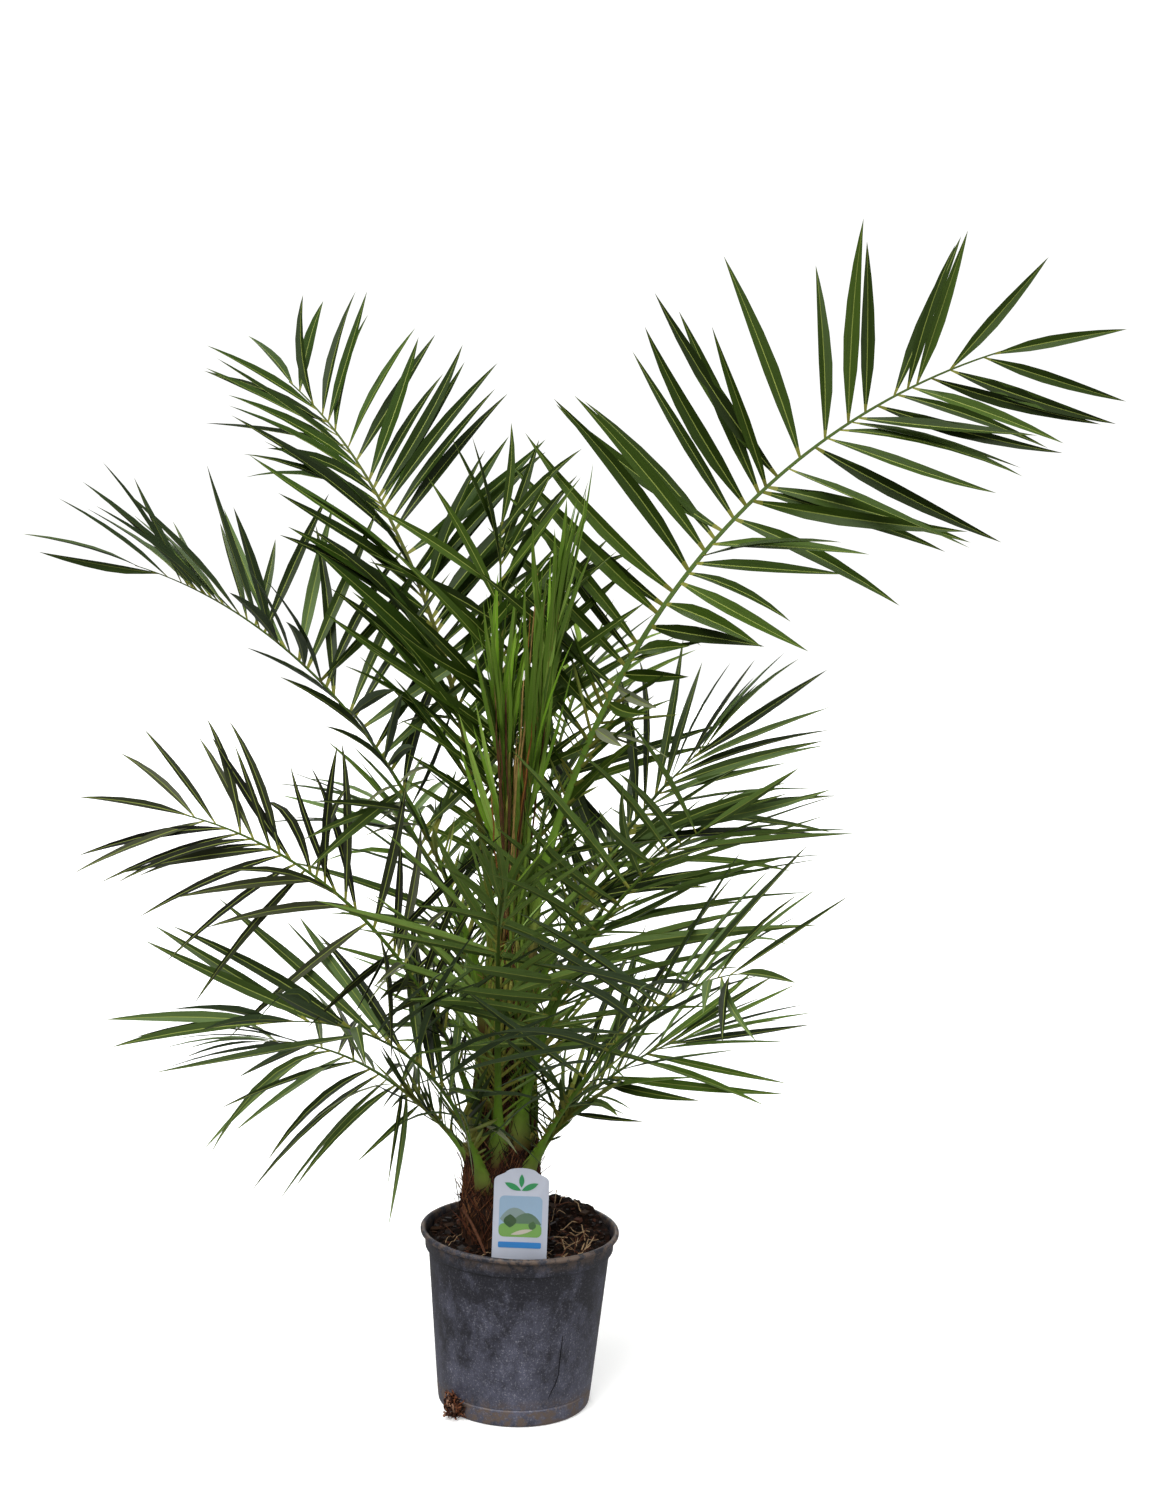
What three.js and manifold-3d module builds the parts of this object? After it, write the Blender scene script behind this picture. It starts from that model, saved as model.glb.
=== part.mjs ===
// A young date palm in its nursery pot, in millimetres with +Z up.
// The origin is the centre of the pot's flat underside. +X is the plant's right and -Y its front.
import * as THREE from "three";
import { mergeVertices } from "three/addons/utils/BufferGeometryUtils.js";
import Module from "manifold-3d";

const wasm = await Module();
wasm.setup();
const { Manifold, Mesh } = wasm;

// ---- Driving dimensions --------------------------------------------------

const GAP = 0.3; // between solids that touch on the real plant
const LEAF_ROOM = 0.9; // kept free round a leaflet, so that its folded edges clear what passes it

const POT = {
  height: 213,
  rim: 120, // outer radius of the rolled lip
  base: 92, // outer radius at the underside
  wall: 2,
  floor: 3,
  lip: 7, // height of the rolled lip
  collar: 24, // height of the stacking collar, lip included
  sides: 28,
  holes: 8,
  hole: 8, // radius of a drainage hole
  holeRing: 78, // their distance from the middle
};
const SOIL = { level: 199, mound: 24, moundX: 56, moundY: 76, moundRadius: 62, ripple: 2.2 };
const TRUNK = {
  x: -24,
  foot: 192, // the flat cut, just under the soil's surface
  sides: 16,
  // heights and radii up the trunk, from its swollen foot to its tip
  heights: [192, 230, 270, 330, 400, 470, 530, 565],
  radii: [44, 47, 45, 39, 32, 26, 20, 13],
};
// The stubs of old leaf bases on the trunk's foot: turn and rise from one to the next, and the lean of each.
const BOOT = { count: 9, turn: 137.5, first: 216, rise: 21, length: 34, width: 30, depth: 9, lean: 62 };
// The plant label's plate is round at its top and narrows below its shoulder to a stake.
const LABEL = { x: 2, y: -94, width: 64, top: 314, round: 30, thick: 1.2, shoulder: 186, foot: 150, stake: 16 };
// The tuft of roots at the pot's foot: its turn about the pot, and how far its middle stands off the wall.
const TUFT = { turn: 226, out: 4, width: 30, height: 26, depth: 15, middle: 17 };

// Each frond's stalk leaves the trunk at a height and a turn about it (0 is +X, 90 is the back).
// It starts at its rise above level and bends down by its fall, while it sweeps sideways.
// roll and twist turn its blade about the stalk. Angles are in degrees.
// ahead is a leaflet's angle from the stalk at the blade's start, middle and end, and
// lift is its rise out of the blade's plane at the start and the end, for each side.
// bare is the share of the stalk below the first leaflet. leaf and width are a leaflet's greatest size.
// turned, scatter, stalk, inset and size are only where a row differs from what is usual.
const FRONDS = [
  {
    name: "spear_unopened", turn: -20, height: 555, inset: 4, rise: 87, fall: 8, sweep: 0, length: 420,
    roll: 0, twist: 0, bare: 0.26, pairs: 8, leaf: 225, width: 17, droop: 0,
    stalk: 15, scatter: 60, size: [1, 1, 1, 0.9, 0.8],
    right: { ahead: [12, 10, 6], lift: [10, 5] }, left: { ahead: [12, 10, 6], lift: [10, 5] },
  },
  {
    name: "spear_young", turn: 160, height: 552, inset: 4, rise: 88, fall: 5, sweep: 0, length: 300,
    roll: 40, twist: 0, bare: 0.26, pairs: 6, leaf: 200, width: 16, droop: 0,
    stalk: 13, scatter: 60, size: [1, 1, 1, 0.9, 0.8],
    right: { ahead: [13, 11, 7], lift: [10, 5] }, left: { ahead: [13, 11, 7], lift: [10, 5] },
  },
  {
    name: "frond_top_right", turn: 20, height: 540, rise: 78, fall: 59, sweep: -24, length: 968,
    roll: -45, twist: -36, bare: 0.28, pairs: 21, leaf: 262, width: 24, droop: 0.01,
    right: { ahead: [84, 56, 30], lift: [45, -8], size: [0.3, 0.42, 0.8, 1, 0.66] },
    left: { ahead: [66, 82, 40], lift: [12, 15] },
  },
  {
    name: "frond_top_left", turn: 136, height: 480, rise: 82, fall: 53, sweep: 0, length: 905,
    roll: 23, twist: 4, bare: 0.28, pairs: 21, leaf: 240, width: 21, droop: 0.04,
    right: { ahead: [50, 64, 42], lift: [22, 27] }, left: { ahead: [42, 55, 36], lift: [26, 32] },
  },
  {
    name: "frond_back_tall", turn: 118, height: 500, rise: 84, fall: -2, sweep: 0, length: 560,
    roll: 0, twist: 0, bare: 0.36, pairs: 14, leaf: 215, width: 18, droop: 0.03,
    right: { ahead: [62, 55, 22], lift: [15, 10] }, left: { ahead: [62, 55, 22], lift: [15, 10] },
  },
  {
    name: "frond_left_upper", turn: 176, height: 455, rise: 75, fall: 61, sweep: -6, length: 738,
    roll: 29, twist: -32, bare: 0.32, pairs: 18, leaf: 250, width: 20, droop: 0.03,
    right: { ahead: [66, 62, 24], lift: [58, 20] }, left: { ahead: [58, 68, 18], lift: [14, 36] },
  },
  {
    name: "frond_right_back", turn: 36, height: 452, rise: 65, fall: 24, sweep: -20, length: 425,
    roll: -11, twist: -10, bare: 0.38, pairs: 16, leaf: 262, width: 19, droop: 0.01,
    right: { ahead: [40, 38, 12], lift: [10, -12] }, left: { ahead: [62, 54, 18], lift: [10, -20] },
  },
  {
    name: "frond_back_upper", turn: 78, height: 425, rise: 71, fall: 46, sweep: 0, length: 600,
    roll: 0, twist: 0, bare: 0.32, pairs: 14, leaf: 230, width: 19, droop: 0.06,
    right: { ahead: [64, 56, 24], lift: [24, 12] }, left: { ahead: [64, 56, 24], lift: [24, 12] },
  },
  {
    name: "frond_left_middle", turn: 208, height: 330, rise: 70, fall: 56, sweep: -20, length: 550,
    roll: 28, twist: 18, bare: 0.28, pairs: 16, leaf: 215, width: 15, droop: 0.16,
    right: { ahead: [72, 56, 28], lift: [46, 12] }, left: { ahead: [65, 62, 26], lift: [20, -16] },
  },
  {
    name: "frond_right_middle", turn: -58, height: 322, rise: 73, fall: 40, sweep: 24, length: 505,
    roll: 28, twist: 16, bare: 0.24, pairs: 17, leaf: 262, width: 17, droop: 0.05,
    size: [0.5, 0.85, 1, 0.95, 0.66],
    right: { ahead: [67, 46, 42], lift: [-26, -4] }, left: { ahead: [75, 46, 34], lift: [14, 4] },
  },
  {
    name: "frond_front", turn: -98, height: 300, rise: 78, fall: 46, sweep: 14, length: 440,
    roll: 0, twist: 0, bare: 0.26, pairs: 13, leaf: 220, width: 17, droop: 0.04,
    right: { ahead: [66, 52, 20], lift: [26, 10] }, left: { ahead: [66, 52, 20], lift: [26, 10] },
  },
  {
    name: "frond_back_left", turn: 116, height: 368, rise: 62, fall: 56, sweep: 6, length: 520,
    roll: 0, twist: 0, bare: 0.33, pairs: 13, leaf: 225, width: 19, droop: 0.08,
    right: { ahead: [64, 56, 24], lift: [24, 8] }, left: { ahead: [64, 56, 24], lift: [24, 8] },
  },
  {
    name: "frond_back_right", turn: 62, height: 350, rise: 60, fall: 56, sweep: -8, length: 500,
    roll: 0, twist: 0, bare: 0.33, pairs: 13, leaf: 225, width: 19, droop: 0.08,
    right: { ahead: [64, 56, 24], lift: [22, 6] }, left: { ahead: [64, 56, 24], lift: [22, 6] },
  },
  {
    name: "frond_left_front", turn: 236, height: 268, rise: 66, fall: 71, sweep: -30, length: 422,
    roll: 21, twist: -31, bare: 0.22, pairs: 14, leaf: 262, width: 19, droop: 0.03,
    turned: -40, size: [0.35, 0.7, 1, 0.95, 0.7],
    right: { ahead: [66, 52, 16], lift: [29, 14] }, left: { ahead: [74, 70, 28], lift: [38, 14] },
  },
  {
    name: "frond_right_front", turn: -37, height: 280, rise: 60, fall: 46, sweep: -26, length: 495,
    roll: -12, twist: -7, bare: 0.22, pairs: 16, leaf: 250, width: 17, droop: 0.06,
    size: [0.4, 0.8, 1, 0.95, 0.66],
    right: { ahead: [80, 72, 26], lift: [28, 8] }, left: { ahead: [82, 76, 16], lift: [28, 12] },
  },
  {
    name: "frond_left_low", turn: 166, height: 284, rise: 46, fall: 58, sweep: -10, length: 330,
    roll: -8, twist: 0, bare: 0.3, pairs: 12, leaf: 212, width: 14, droop: 0.1,
    size: [0.5, 0.8, 1, 0.95, 0.7],
    right: { ahead: [66, 52, 20], lift: [0, 0] }, left: { ahead: [84, 70, 22], lift: [-36, -14] },
  },
  {
    name: "frond_right_low", turn: 4, height: 284, rise: 58, fall: 42, sweep: 4, length: 260,
    roll: 0, twist: -10, bare: 0.3, pairs: 11, leaf: 222, width: 16, droop: 0.02,
    size: [0.5, 0.75, 1, 0.95, 0.7],
    right: { ahead: [72, 46, 16], lift: [-4, 2] }, left: { ahead: [64, 44, 16], lift: [6, 0] },
  },
  {
    name: "frond_back_low", turn: 96, height: 292, rise: 50, fall: 58, sweep: 0, length: 370,
    roll: 0, twist: 0, bare: 0.36, pairs: 11, leaf: 225, width: 19, droop: 0.12,
    right: { ahead: [66, 54, 20], lift: [8, 0] }, left: { ahead: [66, 54, 20], lift: [8, 0] },
  },
];
const STALK = {
  width: 25, // at the trunk, where a row gives no other
  taper: [0, 0.07, 0.2, 0.45, 1], // places along the stalk
  share: [1, 0.62, 0.42, 0.3, 0.09], // its width there, as a share of the width at the trunk
  flat: 0.62, // depth over width
  steps: 20, // steps of the curve
  sides: 3, // flat on top and keeled below
};
const LEAFLET = {
  widest: 0.38, // how far along its widest place is
  foot: 0.26, // width at the stalk over the greatest width, and at most
  footOnStalk: 0.42, // this share of the stalk's own width
  thick: 1 / 88, // keel depth over length, at the widest place
  root: 0.12, // how far off the stalk's middle it starts, as a share of the stalk's width
  free: 0.14, // from this share of its length on, it keeps clear of its own frond's leaflets too
  size: [0.7, 0.92, 1, 0.95, 0.66], // length at these places along the blade
  sizeAt: [0, 0.12, 0.35, 0.6, 1],
  girth: [0.62, 1, 0.8], // width at these places along the blade
  girthAt: [0, 0.25, 1],
};
// What a leaflet tries in turn where its way is taken: more ahead, more lift, share of its length.
const TRIES = [
  [0, 0, 1], [7, 0, 1], [-7, 0, 1], [0, 12, 1], [0, -12, 1], [10, 14, 1], [-10, -14, 1], [-10, 14, 1],
  [10, -14, 1], [0, 26, 1], [0, -26, 1], [18, 20, 0.92], [-18, -20, 0.92], [0, 0, 0.8], [0, 20, 0.8],
  [0, -20, 0.8], [16, 0, 0.66], [-16, 0, 0.66], [0, 0, 0.5],
];

// ---- Helpers -------------------------------------------------------------

const radians = THREE.MathUtils.degToRad;

// A seeded dice: the same throws on every run.
function diceOf(seed) {
  let state = seed;
  return () => {
    state = (state * 16807) % 2147483647;
    return state / 2147483647 - 0.5;
  };
}

// The value at x of the straight stretches through (places, values).
function along(x, places, values) {
  if (x <= places[0]) return values[0];
  for (let i = 1; i < places.length; i++) {
    if (x <= places[i]) {
      const share = (x - places[i - 1]) / (places[i] - places[i - 1]);
      return values[i - 1] + (values[i] - values[i - 1]) * share;
    }
  }
  return values[values.length - 1];
}

// A closed three.js geometry as a solid.
function solidOf(geometry) {
  const bare = geometry.clone();
  bare.deleteAttribute("normal");
  bare.deleteAttribute("uv");
  const merged = mergeVertices(bare, 1e-4);
  const mesh = new Mesh({
    numProp: 3,
    vertProperties: merged.attributes.position.array,
    triVerts: new Uint32Array(merged.index.array),
  });
  return new Manifold(mesh);
}

// A solid as a named mesh with its own material.
function meshOf(name, solid, color, roughness) {
  const { vertProperties, triVerts } = solid.getMesh();
  const geometry = new THREE.BufferGeometry();
  geometry.setAttribute("position", new THREE.BufferAttribute(vertProperties, 3));
  geometry.setIndex(new THREE.BufferAttribute(triVerts, 1));
  geometry.computeVertexNormals();
  const mesh = new THREE.Mesh(geometry, new THREE.MeshStandardMaterial({ color, roughness, metalness: 0 }));
  mesh.name = name;
  return mesh;
}

// A lathe turned about Z, from a profile of [radius, height] pairs that starts and ends on the axis.
function turned(profile, sides) {
  const points = profile.map(([radius, height]) => new THREE.Vector2(radius, height));
  return new THREE.LatheGeometry(points, sides).rotateX(Math.PI / 2);
}

// Moves each vertex of a geometry to place(vertex).
function reshaped(geometry, place) {
  const positions = geometry.getAttribute("position");
  const vertex = new THREE.Vector3();
  for (let i = 0; i < positions.count; i++) {
    const moved = place(vertex.fromBufferAttribute(positions, i));
    positions.setXYZ(i, moved.x, moved.y, moved.z);
  }
  return geometry;
}

function largestBody(solid) {
  const bodies = solid.decompose();
  return bodies.reduce((best, body) => (body.volume() > best.volume() ? body : best));
}

function boxesMeet(a, b) {
  return [0, 1, 2].every((i) => a.min[i] <= b.max[i] && b.min[i] <= a.max[i]);
}

// ---- Pot, soil, label ----------------------------------------------------

// The wall's outer radius at a height, below the collar.
function potRadius(height) {
  const top = POT.height - POT.collar;
  return POT.base + ((POT.rim - 10.5 - POT.base) * height) / top;
}

function potSolid() {
  const { height, rim, base, wall, floor, lip, collar, sides } = POT;
  const under = height - collar;
  const step = 4; // how far the collar stands out from the wall
  const outer = [
    [0, 0],
    [base - 3, 0],
    [base, 4],
    [potRadius(under), under],
    [potRadius(under) + step, under + 2],
    [rim - 5, height - lip],
    [rim, height - lip + 0.5],
    [rim, height - 1.5],
    [rim - 1.5, height],
  ];
  const inner = [
    [rim - 3.5, height],
    [rim - 5, height - 3],
    [rim - 5 - wall, height - lip],
    [potRadius(under) + step - wall, under + 3],
    [potRadius(under) - wall, under + 1],
    [potRadius(floor) - wall, floor],
    [0, floor],
  ];
  let pot = solidOf(turned([...outer, ...inner], sides));
  for (let i = 0; i < POT.holes; i++) {
    const turn = (2 * Math.PI * (i + 0.5)) / POT.holes;
    const hole = new THREE.CylinderGeometry(POT.hole, POT.hole, 4 * floor, 8).rotateX(Math.PI / 2);
    hole.translate(POT.holeRing * Math.cos(turn), POT.holeRing * Math.sin(turn), 0);
    pot = pot.subtract(solidOf(hole));
  }
  return pot;
}

// Height of the soil's surface at a place.
function soilTop(x, y) {
  const { level, mound, moundX, moundY, moundRadius, ripple } = SOIL;
  const away = Math.hypot(x - moundX, y - moundY) / moundRadius;
  const bumps = Math.sin(x / 11 + 1) * Math.cos(y / 9) + 0.6 * Math.sin((x + y) / 6);
  return level + mound * Math.exp(-away * away) + ripple * bumps;
}

function soilSolid(trunk, label) {
  const rings = [0, 32, 64, 88, 108];
  const shoulder = POT.height - POT.collar;
  const inside = (height) => potRadius(height) - POT.wall - GAP - 0.2;
  const profile = [
    [0, POT.floor + GAP],
    [inside(POT.floor), POT.floor + GAP],
    [inside(shoulder), shoulder],
    ...rings.reverse().map((radius) => [radius, SOIL.level]),
  ];
  const plug = reshaped(turned(profile, POT.sides), (p) => {
    const atRim = Math.hypot(p.x, p.y) > 107.5;
    if (p.z > SOIL.level - 1) p.z = atRim ? SOIL.level - 3 : soilTop(p.x, p.y);
    return p;
  });
  return solidOf(plug).subtract(trunk).subtract(label);
}

// The plant label: a plate with a round top and a narrow stake, thicker by 2 * room all round.
function labelSolid(room) {
  const { width, top, round, thick, shoulder, foot, stake } = LABEL;
  const half = width / 2 + room;
  const outline = new THREE.Shape();
  outline.moveTo(-stake / 2 - room, foot - room);
  outline.lineTo(stake / 2 + room, foot - room);
  outline.lineTo(half, shoulder);
  outline.lineTo(half, top - round);
  outline.quadraticCurveTo(half, top + room, 0, top + room);
  outline.quadraticCurveTo(-half, top + room, -half, top - round);
  outline.lineTo(-half, shoulder);
  outline.closePath();
  const depth = thick + 2 * room;
  const plate = new THREE.ExtrudeGeometry(outline, { depth, bevelEnabled: false, curveSegments: 8 });
  plate.rotateX(Math.PI / 2).translate(LABEL.x, LABEL.y + depth / 2, 0);
  return solidOf(plate);
}

// A tuft of roots that has grown out at the foot of the pot.
function tuftSolid(pot) {
  const lump = reshaped(new THREE.SphereGeometry(1, 8, 6), (p) => {
    const rough = 1 + 0.22 * Math.sin(9 * p.x + 2) * Math.cos(7 * p.y + 5 * p.z);
    p.set((p.x * TUFT.width * rough) / 2, (p.y * TUFT.depth * rough) / 2, (p.z * TUFT.height * rough) / 2);
    p.x += 0.35 * p.z;
    return p;
  });
  const turn = radians(TUFT.turn);
  const away = potRadius(TUFT.middle) + TUFT.out;
  lump.rotateZ(turn + Math.PI / 2);
  lump.translate(away * Math.cos(turn), away * Math.sin(turn), TUFT.middle);
  return largestBody(solidOf(lump).subtract(pot));
}

// The pot's outside as one filled cone, larger by the gap, to cut what leans on it.
function potCutter() {
  const wide = (height) => potRadius(height) + GAP;
  return solidOf(turned([[0, -5], [wide(0), -5], [wide(0), 0], [wide(180), 180], [0, 180]], POT.sides));
}

// ---- Trunk ---------------------------------------------------------------

function trunkRadius(height) {
  return along(height, TRUNK.heights, TRUNK.radii);
}

// The stubs of old leaf bases, in a spiral up the trunk's foot.
function bootSolid(index, room) {
  const turn = radians(BOOT.turn * index);
  const height = BOOT.first + BOOT.rise * index;
  const stub = new THREE.CylinderGeometry(0.3, 0.5, 1, 5).scale(
    BOOT.width + 2 * room,
    BOOT.length + room,
    BOOT.depth + 2 * room,
  );
  stub.rotateX(Math.PI / 2).rotateY(-radians(90 - BOOT.lean));
  stub.translate(trunkRadius(height) - 4, 0, height);
  stub.rotateZ(turn).translate(TRUNK.x, 0, 0);
  return solidOf(stub);
}

function trunkSolid(room) {
  const { heights, foot } = TRUNK;
  const profile = [[0, foot - room], [trunkRadius(foot) + room, foot - room]];
  heights.slice(1).forEach((height) => profile.push([trunkRadius(height) + room, height]));
  const tip = heights[heights.length - 1];
  profile.push([0, tip + room]);
  const bole = turned(profile, TRUNK.sides).translate(TRUNK.x, 0, 0);
  const boots = Array.from({ length: BOOT.count }, (_, index) => bootSolid(index, room));
  return Manifold.union([solidOf(bole), ...boots]);
}

// ---- Fronds --------------------------------------------------------------

// The stalk's curve: at(t) gives its place, its direction and the blade's right and upper sides.
function stalkCurve(frond) {
  const turn = radians(frond.turn);
  const start = frond.inset ?? 0.7 * trunkRadius(frond.height);
  const heading = (t) => {
    const up = radians(frond.rise - frond.fall * t ** 1.4);
    const round = turn + radians(frond.sweep) * t;
    return new THREE.Vector3(Math.cos(up) * Math.cos(round), Math.cos(up) * Math.sin(round), Math.sin(up));
  };
  const places = [
    new THREE.Vector3(TRUNK.x + start * Math.cos(turn), start * Math.sin(turn), frond.height),
  ];
  for (let i = 0; i < STALK.steps; i++) {
    const step = heading((i + 0.5) / STALK.steps).multiplyScalar(frond.length / STALK.steps);
    places.push(places[i].clone().add(step));
  }
  return (t) => {
    const index = Math.min(STALK.steps - 1, Math.floor(t * STALK.steps));
    const place = places[index].clone().lerp(places[index + 1], t * STALK.steps - index);
    const ahead = heading(t);
    const round = turn + radians(frond.sweep) * t;
    const flatSide = new THREE.Vector3(Math.sin(round), -Math.cos(round), 0);
    const flatTop = new THREE.Vector3().crossVectors(flatSide, ahead);
    const roll = radians(frond.roll + frond.twist * t);
    const side = flatSide.clone().multiplyScalar(Math.cos(roll)).addScaledVector(flatTop, Math.sin(roll));
    const top = new THREE.Vector3().crossVectors(side, ahead);
    return { place, ahead, side, top };
  };
}

function stalkWidth(frond, t) {
  return (frond.stalk ?? STALK.width) * along(t, STALK.taper, STALK.share);
}

// The stalk, from its broad foot in the trunk to the blade's tip, thicker all round by room.
function stalkSolid(frond, room) {
  const curve = stalkCurve(frond);
  const tube = new THREE.CylinderGeometry(1, 1, 1, STALK.sides, STALK.steps / 2);
  return solidOf(
    reshaped(tube, (p) => {
      const { place, side, top } = curve(p.y + 0.5);
      const width = stalkWidth(frond, p.y + 0.5);
      return place
        .addScaledVector(side, (-p.x / Math.sin(Math.PI / 3)) * (width / 2 + room))
        .addScaledVector(top, -p.z * ((width * STALK.flat) / 2 + room));
    }),
  );
}

// Every leaflet of a frond with its throws of the dice, in the order in which they grow.
function leafletsOf(frond, seed) {
  const dice = diceOf(seed * 7919 + 11);
  const curve = stalkCurve(frond);
  const leaflets = [];
  for (let i = 0; i < frond.pairs; i++) {
    for (const hand of [1, -1]) {
      const throws = Array.from({ length: 6 }, dice);
      const u = THREE.MathUtils.clamp((i + 0.5 + 0.22 * hand + 0.5 * throws[0]) / frond.pairs, 0, 1);
      const t = frond.bare + (0.985 - frond.bare) * u;
      const habit = hand > 0 ? frond.right : frond.left;
      const half = (frond.width / 2) * along(u, LEAFLET.girthAt, LEAFLET.girth) * (1 + 0.2 * throws[4]);
      const size = along(u, LEAFLET.sizeAt, habit.size ?? frond.size ?? LEAFLET.size);
      leaflets.push({
        hand,
        spot: curve(t),
        ahead: along(u, [0, 0.5, 1], habit.ahead) + 14 * throws[1],
        lift: along(u, [0, 1], habit.lift) + (frond.scatter ?? 16) * throws[2],
        length: frond.leaf * size * (1 + 0.16 * throws[3]),
        half,
        foot: Math.min(LEAFLET.foot * half, LEAFLET.footOnStalk * stalkWidth(frond, t)),
        root: LEAFLET.root * stalkWidth(frond, t),
        turn: radians((frond.turned ?? 0) * hand + 40 * throws[5]),
        droop: frond.droop,
      });
    }
  }
  return leaflets;
}

// One leaflet: a pointed blade with a three-sided section, its keel below, larger all round by room.
// It starts at a share of its length from the stalk.
function leafletSolid(leaflet, [moreAhead, moreLift, share], room, from) {
  const { spot, hand, half, foot, root, droop } = leaflet;
  const length = leaflet.length * share;
  const ahead = radians(leaflet.ahead + moreAhead);
  const lift = radians(leaflet.lift + moreLift);
  const out = spot.side.clone().multiplyScalar(Math.cos(lift) * hand).addScaledVector(spot.top, Math.sin(lift));
  const way = spot.ahead.clone().multiplyScalar(Math.cos(ahead)).addScaledVector(out, Math.sin(ahead));
  const flat = spot.ahead.clone().addScaledVector(way, -spot.ahead.dot(way)).normalize().multiplyScalar(hand);
  const across = flat.applyAxisAngle(way, leaflet.turn);
  const below = new THREE.Vector3().crossVectors(across, way);
  const depth = length * LEAFLET.thick;
  const blade = new THREE.ConeGeometry(1, 1, 3, 2);
  return solidOf(
    reshaped(blade, (p) => {
      const rank = p.y + 0.5; // 0 at the stalk, a half at the widest place, 1 at the tip
      const reach = rank < 0.25 ? from : rank < 0.75 ? LEAFLET.widest : 1;
      const wide = rank < 0.25 ? foot + ((half - foot) * from) / LEAFLET.widest : half;
      const spread = rank > 0.75 ? 0 : p.x / (1 - rank) / Math.sin(Math.PI / 3);
      const keel = rank > 0.75 ? 0.4 : (p.z / (1 - rank) + 0.5) / 1.5;
      const deep = (depth * wide) / half;
      const place = spot.place.clone().addScaledVector(spot.side, hand * root);
      place.z -= droop * length * reach * reach;
      return place
        .addScaledVector(way, reach * (length + room))
        .addScaledVector(across, spread * (wide + room))
        .addScaledVector(below, keel * (deep + 2 * room) - room);
    }),
  );
}

// Cuts each stalk clear of the trunk and of the stalks inside it.
function cutStalks(trunkRoom) {
  const stalks = FRONDS.map((frond) => stalkSolid(frond, 0));
  const cutters = FRONDS.map((frond) => stalkSolid(frond, GAP + 0.1));
  return stalks.map((stalk, index) => {
    let cut = stalk.subtract(trunkRoom);
    cutters.slice(0, index).forEach((cutter) => {
      if (boxesMeet(cut.boundingBox(), cutter.boundingBox())) cut = cut.subtract(cutter);
    });
    return largestBody(cut);
  });
}

// Grows every frond's leaflets: each takes the first of its tries that is clear of everything else.
function growFronds(stalks, limbs) {
  const taken = [...limbs, ...stalks].map((solid, index) => ({
    solid,
    box: solid.boundingBox(),
    frond: index - limbs.length,
  }));
  return FRONDS.map((frond, index) => {
    const others = taken.filter((item) => item.frond !== index);
    const own = [];
    for (const leaflet of leafletsOf(frond, index + 1)) {
      const free = TRIES.find((attempt) => {
        const whole = leafletSolid(leaflet, attempt, LEAF_ROOM, 0);
        const outer = leafletSolid(leaflet, attempt, LEAF_ROOM, LEAFLET.free);
        const box = whole.boundingBox();
        const clear = (part, item) => !boxesMeet(box, item.box) || part.intersect(item.solid).isEmpty();
        return others.every((item) => clear(whole, item)) && own.every((item) => clear(outer, item));
      });
      if (!free) continue;
      const solid = leafletSolid(leaflet, free, 0, 0);
      own.push({ solid, box: solid.boundingBox(), frond: index });
    }
    taken.push(...own);
    return largestBody(Manifold.union([stalks[index], ...own.map((item) => item.solid)]));
  });
}

// ---- The whole plant -----------------------------------------------------

const palm = new THREE.Group();

const trunkRoom = trunkSolid(GAP);
const trunk = trunkSolid(0);
const label = labelSolid(0);
const pot = potSolid();
const soil = soilSolid(trunkRoom, labelSolid(GAP));
const stalks = cutStalks(trunkRoom);
const fronds = growFronds(stalks, [trunk, pot, soil, label]);

palm.add(
  meshOf("pot", pot, 0x2f3133, 0.6),
  meshOf("soil", soil, 0x2a201a, 0.95),
  meshOf("root_tuft", tuftSolid(potCutter()), 0x5b3522, 0.9),
  meshOf("trunk", trunk, 0x5a3b28, 0.9),
  meshOf("plant_label", label, 0xe9eef0, 0.4),
);
fronds.forEach((solid, index) => palm.add(meshOf(FRONDS[index].name, solid, 0x3f5a2c, 0.55)));

export default palm;
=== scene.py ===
"""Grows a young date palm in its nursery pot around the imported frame, and dresses it for a studio view.

Growth is worked out in millimetres, by the same rule as the solids, and meshes are in metres.
"""

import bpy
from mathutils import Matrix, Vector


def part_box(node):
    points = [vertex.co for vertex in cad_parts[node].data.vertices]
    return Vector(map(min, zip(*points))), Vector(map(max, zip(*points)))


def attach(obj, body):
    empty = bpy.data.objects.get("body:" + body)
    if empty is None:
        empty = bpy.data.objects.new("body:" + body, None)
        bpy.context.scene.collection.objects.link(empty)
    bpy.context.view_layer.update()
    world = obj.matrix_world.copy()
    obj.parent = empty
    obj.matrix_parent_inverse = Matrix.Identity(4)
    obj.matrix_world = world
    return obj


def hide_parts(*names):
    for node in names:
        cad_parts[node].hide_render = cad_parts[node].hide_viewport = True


bl_info = {
    "name": "Potted date palm",
    "version": (1, 0, 0),
    "blender": (4, 5, 0),
    "location": "3D View > Sidebar > Date Palm",
    "description": "Grows a young date palm in its nursery pot around the packed frame",
    "category": "Add Mesh",
}

from math import atan2, cos, exp, hypot, pi, radians, sin, sqrt

import bmesh
import bpy
import numpy as np
from mathutils import Matrix, Vector, noise
from mathutils.kdtree import KDTree

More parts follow.
